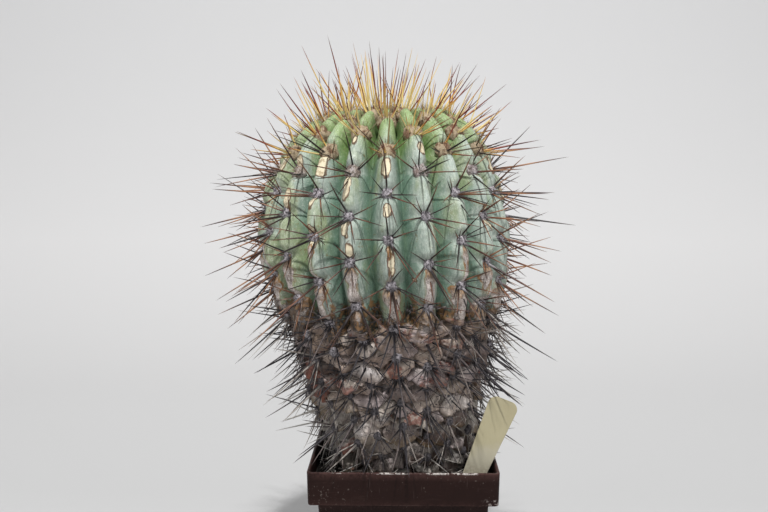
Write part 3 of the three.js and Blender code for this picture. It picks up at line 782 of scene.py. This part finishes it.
spineTone = {  # from root to tip, and for the old ones from black to bleached
    "golden": [
        (0.0, (0.82, 0.68, 0.32)), (0.42, (0.78, 0.54, 0.17)), (0.55, (0.6, 0.29, 0.07)),
        (0.68, (0.23, 0.045, 0.025)), (1.0, (0.08, 0.015, 0.012)),
    ],
    "dark": [
        (0.0, (0.03, 0.023, 0.023)), (0.3, (0.02, 0.013, 0.013)), (0.55, (0.04, 0.018, 0.014)),
        (0.8, (0.16, 0.065, 0.04)), (1.0, (0.05, 0.02, 0.015)),
    ],
    "backlitAmber": [
        (0.0, (0.05, 0.03, 0.023)), (0.2, (0.06, 0.02, 0.014)), (0.45, (0.2, 0.075, 0.04)),
        (0.7, (0.42, 0.215, 0.11)), (1.0, (0.05, 0.02, 0.015)),
    ],
    "grey": [
        (0.0, (0.012, 0.011, 0.014)), (0.45, (0.034, 0.03, 0.034)), (0.64, (0.12, 0.095, 0.088)),
        (0.8, (0.31, 0.28, 0.25)), (1.0, (0.5, 0.48, 0.45)),
    ],
    "root": (0.37, 0.355, 0.38), "greyRoot": (0.3, 0.28, 0.29),
}


def spinePaint(name):  # golden when young, then near black, then grey, and darker towards the tip
    paint = Paint(name, Specular_IOR_Level=0.4)
    mix, step = paint.mix, paint.step
    along, tint, crown, cork, side = (paint.field(key) for key in ("along", "tint", "crown", "cork", "side"))
    specks = paint.noise(paint.place(), 500.0, 3.0, 0.6)
    shift, speck = tint - 0.5, specks - 0.5  # above and below 0
    golden = paint.ramp(along + shift * 0.9 - 0.08, spineTone["golden"])
    dark = paint.ramp(along + shift * 0.8 + speck * 0.25, spineTone["dark"])
    backlitAmber = paint.ramp(along + shift * 0.6, spineTone["backlitAmber"])
    # grey of the old spines: lighter where bleached and at the foot, and lighter on the sides of the stem as painted
    # light through them
    bleachAndBacklight = tint * 0.66 + paint.field("foot") * 0.24 + side * 0.28 + speck * 0.4
    root = (1 - step(along + speck * 0.16, 0.07, 0.22)) * (1 - crown)
    grey = mix(root * 0.2, paint.ramp(bleachAndBacklight, spineTone["grey"]), spineTone["greyRoot"])
    # painted light: spines on the sides of the stem, seen against the bright backdrop, turn amber as if lit through,
    # while the same spines facing the camera stay dark
    dark = mix(side * step(tint + speck * 0.2, 0.2, 0.5), dark, backlitAmber)
    dark = mix(root * 0.8, dark, spineTone["root"])
    colour = mix(step(crown * (0.5 + tint), 0.14, 0.34), dark, golden)
    colour = mix(step(cork + shift * 0.5, 0.35, 0.8), colour, grey)
    return paint.finish(Base_Color=colour, Roughness=0.38 + 0.3 * cork, Normal=paint.bump(specks, 0.0002))


*spineForm, crown, tint, spineArc, backlitSide = growSpines()
spineFields = {
    "tint": tint, "crown": crown, "cork": smooth(spineArc, 140, 174), "foot": smooth(spineArc, 205, 250),
    "side": backlitSide**2,
}
spineGroups = [
    ("crownSpines", 0, 62, "green_skin", "stem_green_crown"),
    ("flankSpines", 62, colourEdge, "green_skin", "stem_green_crown"),
    ("barkSpines", colourEdge, arcLength, "cork_bark", "stem_corky_base"),
]
spineCoat = spinePaint("spineHorn")
for name, upper, lower, slotName, node in spineGroups:
    part = (spineArc >= upper) & (spineArc < lower)
    showPiece(meshOfSpines(name, part, *spineForm, spineFields), spineCoat, slotName, node)


thinSpine = {"fromArc": 160, "perAreole": 9, "radius": (0.15, 0.42), "short": 8, "long": (16, 23), "bow": 0.12}


def makeThinSpines():  # thin old spines on the bark, which hang in fans over the foot of the stem
    low = np.flatnonzero(areoleArc > thinSpine["fromArc"])
    who = np.repeat(low, thinSpine["perAreole"])
    index = np.tile(np.arange(thinSpine["perAreole"]), len(low))
    chance = [draw(areoleRib[who], areoleRow[who], index, channel) for channel in range(111, 117)]
    foot, atSide, thick = smooth(areoleArc[who], 195, 220), areole["atSide"][who], chance[4] ** 2
    clock = 180 + blend(260, 120, foot) * (chance[0] - 0.5)
    start, way = leaveAreole(who, clock, blend(8, blend(72, 40, foot), chance[1]), 0.5)
    length = blend(thinSpine["short"], blend(*thinSpine["long"], atSide), chance[2])
    tint = blend(0.75, 0.0, thick) * blend(0.4, 1, chance[3]) + 0.3 * foot
    return meshOfSpines(
        "thinSpines", isClear(start, way, length, 0.15, 10), start, way, length, blend(*thinSpine["radius"], thick),
        thinSpine["bow"] * (chance[5] - 0.5), {"tint": tint, "cork": 0 * foot + 1, "foot": foot, "side": atSide**2},
    )


showPiece(makeThinSpines(), spineCoat, "cork_bark", "stem_corky_base")


litterBit = {
    "count": 1500, "arc": (157, 252), "length": (3, 15), "radius": (0.14, 0.3), "lift": (0.2, 1.6),
    "slope": (-4, 22), "bow": 0.3,
}


def makeBarkLitter():  # broken spines and crumbs that lie on the bark and where the green ends
    chance = [draw(np.arange(litterBit["count"]), channel, 1, 121) for channel in range(12)]
    rib, side = np.floor(chance[1] * ribCount), chance[2] - 0.5
    arc = blend(*litterBit["arc"], chance[3] ** 1.7)
    out, up = skinFrame(ribAngle(rib, side), arc)[1:]
    turn = (math.pi * (chance[4] - 0.5) * blend(1.8, 1.0, chance[5]))[:, None]
    slope = np.radians(blend(*litterBit["slope"], chance[6]))[:, None]
    flat = np.cross(up, out) * np.sin(turn) - up * np.cos(turn)
    way = flat * np.cos(slope) + out * np.sin(slope)
    length = blend(*litterBit["length"], chance[7] ** 1.5)
    start = stemSkin(rib, side, arc)[0] + out * blend(*litterBit["lift"], chance[8])[:, None]
    fields = {
        "tint": chance[9], "cork": 0 * arc + 1, "foot": 0.8 * smooth(arc, 195, 235),
        "side": np.cos(ribAngle(rib, 0)) ** 2,
    }
    return meshOfSpines(
        "barkLitter", isClear(start, way, length, 0, 6), start, way, length,
        blend(*litterBit["radius"], chance[10] ** 2), litterBit["bow"] * (chance[11] - 0.5), fields,
    )


showPiece(makeBarkLitter(), spineCoat, "cork_bark", "stem_corky_base")


# Wool pads in the areoles, and the short hairs on them

padShape, padPoints = spunShape(
    [(0, -0.7), (0.8, -0.6), (1, -0.05), (0.93, 0.42), (0.7, 0.78), (0.38, 0.95), (0, 0.9)], 10,
)
padYoung = 1 - smooth(areoleArc, 52, 100)
padWide = blend(blend(3.2, 6.1, padYoung), 2.6, areole["cork"])
padHigh = blend(blend(2.2, 4.8, padYoung), 1.6, areole["cork"])
woolTone = {
    "young": ((0.2, 0.145, 0.085), (0.58, 0.475, 0.34)), "brown": (0.13, 0.055, 0.03),
    "old": ((0.06, 0.054, 0.06), (0.55, 0.51, 0.54)), "onBark": (0.04, 0.037, 0.04),
}


def growPads():
    x, y, z = padPoints.T
    uneven = 1 + 0.4 * (draw(areoleRib[:, None], areoleRow[:, None], np.arange(len(x)), 51) - 0.5)
    wide = padWide[:, None]
    places = layOut(
        areole["at"], (areole["beside"], wide * x * uneven * 0.95), (areole["up"], wide * y * uneven * 1.12),
        (areole["out"], padHigh[:, None] * z * uneven),
    )
    return meshOfCopies("areoleWool", padShape, places, {"young": padYoung, "cork": areole["cork"]})


def woolPaint(name):
    paint = Paint(name, Roughness=0.95, Specular_IOR_Level=0.1)
    place, mix, step = paint.place(), paint.mix, paint.step
    tufts, patches = paint.noise(place, 650.0, 4.0, 0.7), paint.noise(place, 230.0, 2.0, 0.5)
    young = mix(step(patches, 0.51, 0.62) * 0.75, mix(tufts, *woolTone["young"]), woolTone["brown"])
    old = mix(step(tufts, 0.35, 0.65), *woolTone["old"])
    colour = mix(step(paint.field("young") + (patches - 0.5) * 0.4, 0.2, 0.7), old, young)
    colour = mix(paint.field("cork") * 0.8, colour, woolTone["onBark"])
    return paint.finish(Base_Color=colour, Normal=paint.bump(tufts, 0.0007))


woolCoat = woolPaint("wool")
showPiece(growPads(), woolCoat, "green_skin", "stem_green_crown", "stem_corky_base")

hairShape, hairPoints = spunShape([(0, 0), (1, 0), (0.7, 0.55), (0, 1)], 3)
hairRadius = 0.11


def meshOfHairs(name, start, way, length, bow, fields):
    bend = bow[:, None] * hairPoints[:, 2] ** 2
    places = layStrands(hairPoints, start, way, length, hairRadius, bend, [0.2, 0.7, 0.4])
    return meshOfCopies(name, hairShape, places, fields)


def growHairs():
    perPad = blend(blend(26, 70, padYoung), 8, areole["cork"]).astype(int)
    who = np.repeat(np.arange(len(perPad)), perPad)
    index = np.concatenate([np.arange(count) for count in perPad])
    chance = [draw(areoleRib[who], areoleRow[who], index, channel) for channel in range(61, 66)]
    reach, turn, out = np.sqrt(chance[0]), (fullTurn * chance[1])[:, None], areole["out"][who]
    flat = areole["beside"][who] * np.cos(turn) + areole["up"][who] * np.sin(turn)
    lift = padHigh[who] * np.sqrt(1 - 0.9 * reach**2) * 0.8
    start = areole["at"][who] + flat * (reach * padWide[who])[:, None] + out * lift[:, None]
    way = unit(out * 0.8 + flat * (reach * blend(0.5, 1.6, chance[2]))[:, None])
    length = padHigh[who] * blend(0.7, 1.7, chance[3])
    fields = {"young": padYoung[who], "cork": areole["cork"][who]}
    return meshOfHairs("areoleHairs", start, way, length, 1.4 * (chance[4] - 0.5), fields)


showPiece(growHairs(), woolCoat, "green_skin", "stem_green_crown", "stem_corky_base")


# The woolly middle of the crown with its bunch of young spines

felt = {
    "radius": 20, "rise": 7.5, "columns": 96, "rows": 30, "hairs": 2400, "hairLength": (1.5, 4.0), "spines": 50,
    "spineLength": (23, 45), "spineRadius": (0.28, 0.46),
}
feltFloor = dishHeight + 0.3
feltAxis = leanAt(dishHeight)


def feltSurface(part, angle):  # part runs from the outer edge, 0, to the middle, 1
    turn = part * math.pi / 2
    height = feltFloor + 1.5 + (felt["rise"] - 1.5) * np.sin(turn)
    return onCircle(feltAxis, felt["radius"] * 0.965 * np.cos(turn), angle, height)


def makeFelt():
    mesh, column, row = openShell("crownFelt", felt["rows"], felt["columns"])
    angle = column / felt["columns"] * fullTurn
    points = feltSurface(np.clip((row - 2) / (felt["rows"] - 3), 0, 1), angle)
    points[:, 2] += layered(points, (0.9, 3.2, 71), (0.5, 1.5, 72)) * smooth(row, 3, 8)
    for index, radius in enumerate((0, felt["radius"] - 1.2)):
        ring = row == index
        points[ring] = onCircle(feltAxis, radius, angle[ring], feltFloor)
    points[row == felt["rows"] - 1] = points[row == felt["rows"] - 1].mean(axis=0)
    giveFields(mesh, {"young": np.ones(len(row))})
    return closeShell(mesh, points)


showPiece(makeFelt(), woolCoat, "felt", "apex_felt")


def makeFeltHairs():
    index = np.arange(felt["hairs"])
    angle = index * goldenTurn
    start = feltSurface(np.arccos(np.sqrt((index + 0.5) / felt["hairs"])) / (math.pi / 2), angle)
    away = onCircle(0, 1, angle, 0)
    aslant, astray, long, bent = (draw(index, step, step + 3, step + 71) for step in (2, 3, 4, 5))
    spread = blend(-0.5, 1.1, aslant)[:, None] * away
    way = unit(spread + np.array([0, 0, 1]) + 0.5 * (astray[:, None] - 0.5) * away[:, [1, 0, 2]])
    young = {"young": 0 * angle + 1}
    return meshOfHairs("feltHairs", start, way, blend(*felt["hairLength"], long), 2.2 * (bent - 0.5), young)


showPiece(makeFeltHairs(), woolCoat, "felt", "apex_felt")


def makeFeltSpines():
    index = np.arange(felt["spines"])
    reach, angle = 0.92 * np.sqrt((index + 0.5) / felt["spines"]), index * goldenTurn
    height = feltFloor + 0.7 + (felt["rise"] - 2) * np.sqrt(1 - reach * reach)
    start = onCircle(feltAxis, reach * felt["radius"], angle, height - 1)
    splay = np.radians(6 + 24 * reach + 14 * (draw(index, 1, 2, 3) - 0.5))
    return meshOfSpines(
        "feltSpines", index >= 0, start, onCircle(0, np.sin(splay), angle, np.cos(splay)),
        blend(*felt["spineLength"], draw(index, 4, 5, 6)), blend(*felt["spineRadius"], draw(index, 5, 5, 7)),
        0.12 * (draw(index, 6, 5, 8) - 0.5), {"tint": draw(index, 7, 5, 9), "crown": 0 * angle + 1},
    )


showPiece(makeFeltSpines(), spineCoat, "felt", "apex_felt")


# Pot: a thin square shell with a proud band round its top and drain holes in its floor

potTone = {
    "plastic": ((0.01, 0.004, 0.0034), (0.021, 0.0088, 0.007)), "scuffed": (0.06, 0.036, 0.03),
    "scratched": (0.12, 0.09, 0.08), "edgeWearAndHighlight": (0.09, 0.045, 0.04), "chipped": (0.5, 0.46, 0.43),
    "corner": (0.34, 0.3, 0.28), "dust": (0.2, 0.17, 0.15),
}


def squareOutline():  # points round a square of half width 1 with rounded corners, by quarter turns
    corner = pot["corner"] / (pot["rimWidth"] / 2)
    bend = np.exp(1j * np.linspace(0, math.pi / 2, pot["cornerSteps"] + 1))
    gone = 2 * (1 - corner) * np.arange(1, pot["sideSteps"]) / pot["sideSteps"]
    quarter = np.concatenate([(1 - corner) * (1 + 1j) + corner * bend, 1 - corner + 1j - gone])
    turned = np.concatenate([quarter * 1j**turn for turn in range(4)])
    return np.stack([turned.real, turned.imag], -1)


square = squareOutline()


def squareRings(name, rings):  # a shell through square rings of (half width, height)
    mesh, column, row = openShell(name, len(rings), len(square))
    half, height = np.array(rings, float)[row].T
    return mesh, np.column_stack([square[column] * half[:, None], height]), column, row


def makePot():
    wall, top, foot = pot["wall"], rimTop, rimTop - pot["rimHeight"]
    rim, body, base = pot["rimWidth"] / 2, pot["bodyWidth"] / 2, pot["baseWidth"] / 2
    within = rim - wall
    rings = [
        (base - wall, pot["floor"]), (body - wall - 0.15, foot + wall), (within - 0.5, foot + wall + 0.2),
        (within - 0.2, top - 8), (within - 0.1, top - 0.8), (within + 0.1, top - 0.25), (within + 0.4, top),
        (rim - 0.3, top), (rim - 0.06, top - 0.14), (rim, top - 0.5), (rim - 0.02, top - 1), (rim - 0.12, top - 5),
        (rim - 0.35, foot + 4), (rim - 0.46, foot + 0.9), (rim - 0.48, foot + 0.4), (rim - 0.56, foot + 0.08),
        (rim - 0.9, foot), (rim - 1.4, foot), (body - 0.1, foot), (body - 0.14, foot - 0.5), (body - 0.6, foot - 6),
        (base + 1.2, 9), (base + 0.5, 1.2), (base + 0.1, 0.25), (base - 0.4, 0),
    ]
    mesh, points = squareRings("potShell", rings)[:2]
    height = points[:, 2]
    giveFields(mesh, {"edge": np.exp(-((height - top) / 1.3) ** 2) + 0.6 * np.exp(-((height - foot) / 0.8) ** 2)})
    bm = bmeshOf(closeShell(mesh, points))
    openEdges = [edge for edge in bm.edges if edge.is_boundary]
    holes = {}
    for level in (0, pot["floor"]):
        loop = [edge for edge in openEdges if abs(edge.verts[0].co.z - level * mm) < 0.2 * mm]
        for spot in itertools.product((-pot["holeSpot"], pot["holeSpot"]), repeat=2):
            made = bmesh.ops.create_circle(
                bm, cap_ends=False, radius=pot["holeRadius"] * mm, segments=20,
                matrix=Matrix.Translation((spot[0] * mm, spot[1] * mm, level * mm)),
            )
            # each edge once and in a fixed order, so that the floor is cut into the same faces on every run
            ring = list(dict.fromkeys(edge for vert in made["verts"] for edge in vert.link_edges))
            holes.setdefault(spot, []).extend(ring)
            loop.extend(ring)
        bmesh.ops.triangle_fill(bm, edges=loop, use_beauty=True)
    for pair in holes.values():
        bmesh.ops.bridge_loops(bm, edges=pair)
    return putBack(bm, mesh)


def potPaint():
    paint = Paint("potPlastic", Specular_IOR_Level=0.12)
    place, mix, step = paint.place(), paint.mix, paint.step
    x, y, height = (paint.part(place, axis) for axis in range(3))
    clouds, specks = paint.noise(place, 38.0, 4.0, 0.6), paint.noise(place, 700.0, 3.0, 0.65)
    scuffs = paint.noise(paint.stretch(place, (60, 60, 420)), 1.0, 4.0, 0.7)
    scratches = paint.noise(paint.stretch(place, (900, 900, 60)), 1.0, 2.0, 0.6)
    edge = paint.field("edge")
    colour = mix(step(scuffs, 0.58, 0.8) * 0.4, mix(clouds, *potTone["plastic"]), potTone["scuffed"])
    colour = mix(step(scratches, 0.68, 0.8) * 0.3, colour, potTone["scratched"])
    # wear on the edges of the band, speckled, which also stands in for a painted highlight along the rim's top edge
    colour = mix(edge * step(specks + clouds, 0.7, 1.1) * 0.7, colour, potTone["edgeWearAndHighlight"])
    middle = step(x, -0.045, -0.01) * (1 - step(x, 0.02, 0.05))
    chips = step(edge, 0.5, 0.9) * step(clouds + (scuffs - 0.5) * 0.7 + middle * 0.1, 0.6, 0.68)
    colour = mix(chips * step(specks, 0.42, 0.5), colour, potTone["chipped"])
    corner = step(x - y, 0.098, 0.106) * step(height, 0.091, 0.093) * (1 - step(height, 0.0955, 0.0975))
    colour = mix(corner * step(specks + (scuffs - 0.5) * 0.6, 0.5, 0.6) * 0.7, colour, potTone["corner"])
    dust = step(specks + (clouds - 0.5) * 0.5, 0.66, 0.76)
    relief = scuffs * 0.3 + specks * 0.3 + chips * 0.5
    return paint.finish(
        Base_Color=mix(dust * 0.35, colour, potTone["dust"]), Roughness=0.36 + 0.25 * clouds + 0.2 * dust,
        Normal=paint.bump(relief, 0.0002),
    )


showPiece(makePot(), potPaint(), "pot_plastic", "pot")


# Grit: a bed with a close hole for the stem, loose stones on it and spines that have fallen there

grit = {
    "rings": 22, "hole": 37.6, "tint": 0.25, "stones": 3400, "stoneSize": (0.45, 1.7), "spread": 104,
    "stoneReach": 52.3, "stoneHole": 38.5,
}
fallen = {
    "count": 420, "far": (40, 56), "slope": (-4, 16), "length": (9, 26), "lift": (1.2, 3.2), "radius": (0.18, 0.32),
    "reach": 51.5, "hole": 40.5,
}
gritTone = [
    (0.0, (0.006, 0.005, 0.0045)), (0.6, (0.018, 0.014, 0.012)), (0.82, (0.05, 0.042, 0.037)),
    (0.94, (0.11, 0.085, 0.06)), (1.0, (0.28, 0.26, 0.24)),
]


def gritHeight(x, y):
    broad = np.sin(x * 0.11 + 1) * np.cos(y * 0.13 - 0.6)
    fine = np.sin(x * 0.43 + y * 0.31) * np.cos(y * 0.52 - x * 0.21)
    return gritTop + 1.2 * (0.6 * broad + 0.4 * fine)


def makeGritBed():
    rings, middle = grit["rings"], leanAt(footHeight)
    outer = [(0, 2.3), (38.1, 2.3), (47.6, 94.4), (52.6, 94.5)]
    inner = [
        (37.9, footHeight - 0.3), (31.3, footHeight - 0.3), (stem["neckWidth"] + 0.3, neckHeight),
        (9.3, neckFloor - 0.3), (0, neckFloor - 0.3),
    ]
    mesh, points, column, row = squareRings("gritBed", outer + [(52.85, gritTop)] * rings + inner)
    angle = np.arctan2(square[column, 1], square[column, 0])
    part = np.clip((row - len(outer)) / (rings - 1), 0, 1)
    flat = blend(points * [1, 1, 0], onCircle(middle, grit["hole"], angle, 0), part[:, None])
    rough = layered(flat, (0.7, 4, 81), (0.5, 2, 82)) * smooth(np.abs(part - 0.5), 0.5, 0.4)
    flat[:, 2] = gritHeight(flat[:, 0], flat[:, 1]) + rough
    deep = row >= len(outer) + rings
    top = (row >= len(outer)) & ~deep
    points[top] = flat[top]
    radius = np.array([ring[0] for ring in inner])[row[deep] - len(outer) - rings]
    points[deep] = onCircle(middle, radius, angle[deep], points[deep, 2])
    giveFields(mesh, {"tint": np.full(len(row), grit["tint"])})
    return closeShell(mesh, points)


def gritPaint():
    paint = Paint("gritStone", Roughness=0.9, Specular_IOR_Level=0.25)
    place = paint.place()
    specks, patches = paint.noise(place, 900.0, 4.0, 0.7), paint.noise(place, 240.0, 3.0, 0.6)
    colour = paint.ramp(paint.field("tint") + (specks - 0.5) * 0.25, gritTone)
    return paint.finish(Base_Color=paint.shade(colour, 0.6 + 0.8 * patches), Normal=paint.bump(specks, 0.0005))


def makeStones():  # cubes with cut edges, each squeezed, turned and made uneven
    bm = bmesh.new()
    bmesh.ops.create_cube(bm, size=1.6)
    cutEdges(bm, bm.edges[:], 0.42, 1)
    shape, points = smallShape(bm)
    index = np.arange(grit["stones"])
    size = blend(*grit["stoneSize"], draw(index, 1, 1, 91) ** 2.2)
    x, y = (grit["spread"] * (draw(index, channel, 2, 92) - 0.5) for channel in (1, 2))
    kept = np.maximum(np.abs(x), np.abs(y)) < grit["stoneReach"] - size
    kept &= np.hypot(x - leanAt(gritTop), y) > grit["stoneHole"] + size
    index, size, x, y = index[kept], size[kept], x[kept], y[kept]
    aim, tip, spans = (
        np.stack([draw(index, step, channel, step + 90) for channel in range(3)], -1) for step in (3, 4, 5)
    )
    first = unit(aim - 0.5)
    second = unit(np.cross(first, tip - 0.5))
    spans = blend(0.6, 1.15, spans) * size[:, None]
    uneven = 1 + 0.3 * (draw(index[:, None], np.arange(len(points)), 6, 96) - 0.5)
    centre = np.stack([x, y, gritHeight(x, y) + size * blend(0.1, 0.75, draw(index, 7, 7, 97))], -1)
    ways = (first, second, np.cross(first, second))
    moves = [(way, points[:, axis] * uneven * spans[:, axis, None]) for axis, way in enumerate(ways)]
    return meshOfCopies("gritStones", shape, layOut(centre, *moves), {"tint": draw(index, 8, 8, 98)})


gritCoat = gritPaint()
showPiece(makeGritBed(), gritCoat, "grit", "soil")
showPiece(makeStones(), gritCoat, "grit", "soil")


def makeFallenSpines():
    chance = [draw(np.arange(fallen["count"]), channel, 1, 101) for channel in range(10)]
    turn = fullTurn * chance[1]
    middle = onCircle(leanAt(gritTop), blend(*fallen["far"], chance[2]), turn, 0)
    slope, length = np.radians(blend(*fallen["slope"], chance[4])), blend(*fallen["length"], chance[5])
    way = onCircle(0, np.cos(slope), turn + math.pi / 2 + 1.7 * (chance[3] - 0.5), np.sin(slope))
    lift = blend(*fallen["lift"], chance[6]) + length / 2 * np.sin(np.abs(slope))
    middle[:, 2] = gritHeight(middle[:, 0], middle[:, 1]) + lift
    start = middle - way * (length / 2)[:, None]
    x, y, z = np.moveaxis(layOut(start, (way, length[:, None] * np.linspace(0, 1, 9))), -1, 0)
    clear = (np.maximum(np.abs(x), np.abs(y)) < fallen["reach"]) & (np.hypot(x - leanAt(z), y) > fallen["hole"])
    clear &= ~((np.abs(y - label["y"]) < 2.5) & (x > 30) & (x < 58))
    fields = {"tint": blend(0.25, 0.95, chance[7]), "cork": 0 * length + 1, "foot": 0 * length + 1}
    return meshOfSpines(
        "fallenSpines", clear.all(axis=1), start, way, length, blend(*fallen["radius"], chance[8]),
        0.2 * (chance[9] - 0.5), fields,
    )


showPiece(makeFallenSpines(), spineCoat, "grit", "soil")


# Label: a thin blank strip of yellowed plastic that tapers to a point in the grit

labelTone = {
    "plastic": ((0.345, 0.3, 0.18), (0.46, 0.42, 0.275)), "scratched": (0.3, 0.27, 0.17),
    "faded": (0.5, 0.475, 0.4), "soiled": (0.18, 0.14, 0.1),
}


def makeLabel():
    bm = bmesh.new()
    bmesh.ops.create_grid(bm, x_segments=12, y_segments=64, size=1)
    mesh = meshFrom(bm, "labelStrip")
    side, part = pointsOf(mesh)[:, 0], (1 - pointsOf(mesh)[:, 1]) / 2
    down = label["length"] * np.where(part < 0.2, part * part / 0.2 * 0.5, part - 0.1) / 0.9
    widths = np.array([label["width"], label["shoulderWidth"], label["point"]]) / 2
    half = np.interp(down, (0, label["shoulder"], label["length"]), widths)
    corner = label["corner"]
    half -= corner - np.sqrt(np.maximum(corner**2 - np.maximum(corner - down, 0) ** 2, 0))
    across, lean = side * half, math.radians(label["lean"])
    bow = 0.5 * np.sin(down / label["length"] * math.pi) - 0.25 * (across / 9) ** 2
    movePoints(mesh, np.stack([
        label["x"] + across * math.cos(lean) - down * math.sin(lean), label["y"] - label["thickness"] / 2 + bow,
        rimTop + label["topAboveRim"] - across * math.sin(lean) - down * math.cos(lean),
    ], -1))
    bm = bmeshOf(mesh)
    bmesh.ops.remove_doubles(bm, verts=bm.verts, dist=1e-6)
    bmesh.ops.solidify(bm, geom=bm.faces[:], thickness=label["thickness"] * mm)
    bmesh.ops.recalc_face_normals(bm, faces=bm.faces)
    sharp = [edge for edge in bm.edges if len(edge.link_faces) == 2 and edge.calc_face_angle() > 1]
    cutEdges(bm, sharp, 0.2 * mm, 2)
    return putBack(bm, mesh)


def labelPaint():
    paint = Paint("labelPlastic", Specular_IOR_Level=0.45)
    place, mix, step = paint.place(), paint.mix, paint.step
    clouds, specks = paint.noise(place, 55.0, 4.0, 0.55), paint.noise(place, 800.0, 3.0, 0.6)
    scratches = paint.noise(paint.stretch(place, (700, 700, 70)), 1.0, 3.0, 0.6)
    height = paint.part(place, 2) + (clouds - 0.5) * 0.03
    soiled = (1 - step(height, 0.102, 0.118)) * 0.5
    colour = mix(step(scratches, 0.6, 0.75) * 0.3, mix(clouds, *labelTone["plastic"]), labelTone["scratched"])
    colour = mix((1 - step(height, 0.116, 0.13)) * 0.55, colour, labelTone["faded"])
    colour = mix(soiled * step(specks, 0.35, 0.6), colour, labelTone["soiled"])
    relief = paint.bump(scratches + specks * 0.4, 0.00012)
    return paint.finish(Base_Color=colour, Roughness=0.34 + 0.2 * clouds + 0.25 * soiled, Normal=relief)


showPiece(makeLabel(), labelPaint(), "label_plastic", "plant_label")


# Camera, light and backdrop

view = {"height": 293.33, "back": 600, "pitchDown": 6.015, "turnLeft": 1.141, "lens": 46.354, "sensor": 36}
cameraData = bpy.data.cameras.new("photoCamera")
cameraData.lens = view["lens"]
cameraData.sensor_width = view["sensor"]
camera = addObject("photoCamera", cameraData)
camera.location = (0, -view["back"] * mm, view["height"] * mm)
camera.rotation_euler = (math.radians(90 - view["pitchDown"]), 0, math.radians(view["turnLeft"]))
bpy.context.scene.camera = camera

backdrop = {  # metres, and the greys painted on the cloth from its front to its back, which are painted shade: darker on the floor, lighter on the bend and the wall
    "width": 9, "front": -3.2, "back": 1.5, "bend": 0.9, "height": 4, "steps": 12,
    "greys": [(0.15, (0.55, 0.55, 0.55)), (0.72, (0.78, 0.775, 0.775)), (1.0, (0.75, 0.75, 0.755))],
}


def makeBackdrop():  # a line from the floor up the wall, drawn out sideways
    bm = bmesh.new()
    back, bend = backdrop["back"], backdrop["bend"]
    angles = [math.pi / 2 * step / backdrop["steps"] for step in range(backdrop["steps"] + 1)]
    curve = [(back - bend * (1 - math.sin(angle)), bend * (1 - math.cos(angle))) for angle in angles]
    line = [(backdrop["front"], 0), *curve, (back, backdrop["height"])]
    points = [bm.verts.new((-backdrop["width"] / 2, y, z)) for y, z in line]
    edges = [bm.edges.new(pair) for pair in zip(points, points[1:])]
    grown = bmesh.ops.extrude_edge_only(bm, edges=edges)["geom"]
    moved = [item for item in grown if isinstance(item, bmesh.types.BMVert)]
    bmesh.ops.translate(bm, verts=moved, vec=(backdrop["width"], 0, 0))
    bmesh.ops.recalc_face_normals(bm, faces=bm.faces)
    paint = Paint("backdropCloth", Roughness=0.9)
    # painted shade: the cloth grey darkens from the wall down to the floor in front
    cloth = paint.ramp(paint.part(paint.place(), 1) * (1 / back), backdrop["greys"])
    piece = showMesh(meshFrom(bm, "backdropSweep"), paint.finish(Base_Color=cloth))


makeBackdrop()

aim = (0, 0, 0.2)
lamps = [  # name, place, size, watts
    ("keyLamp", (0.02, -1.0, 1.8), 0.06, 36), ("fillLamp", (-1.3, -0.9, 0.9), 1.7, 3.2),
    ("sideLamp", (1.4, -0.9, 0.7), 1.7, 3.1), ("topLamp", (0.0, 0.2, 1.6), 1.2, 2.6),
]
for name, spot, size, watts in lamps:
    data = bpy.data.lights.new(name, "AREA")
    data.size = size
    data.energy = watts
    lamp = addObject(name, data)
    lamp.location = spot
    x, y, z = np.subtract(aim, spot)
    lamp.rotation_euler = (math.atan2(math.hypot(x, y), -z), 0, math.atan2(-x, y))

world = bpy.data.worlds.new("studioAir")
bpy.context.scene.world = world
world.use_nodes = True
air = world.node_tree.nodes["Background"].inputs
air["Color"].default_value = (1, 1, 1, 1)
air["Strength"].default_value = 0.37
bpy.context.scene.view_settings.view_transform = "Standard"
print("made the camera, the backdrop and", len(lamps), "lamps")
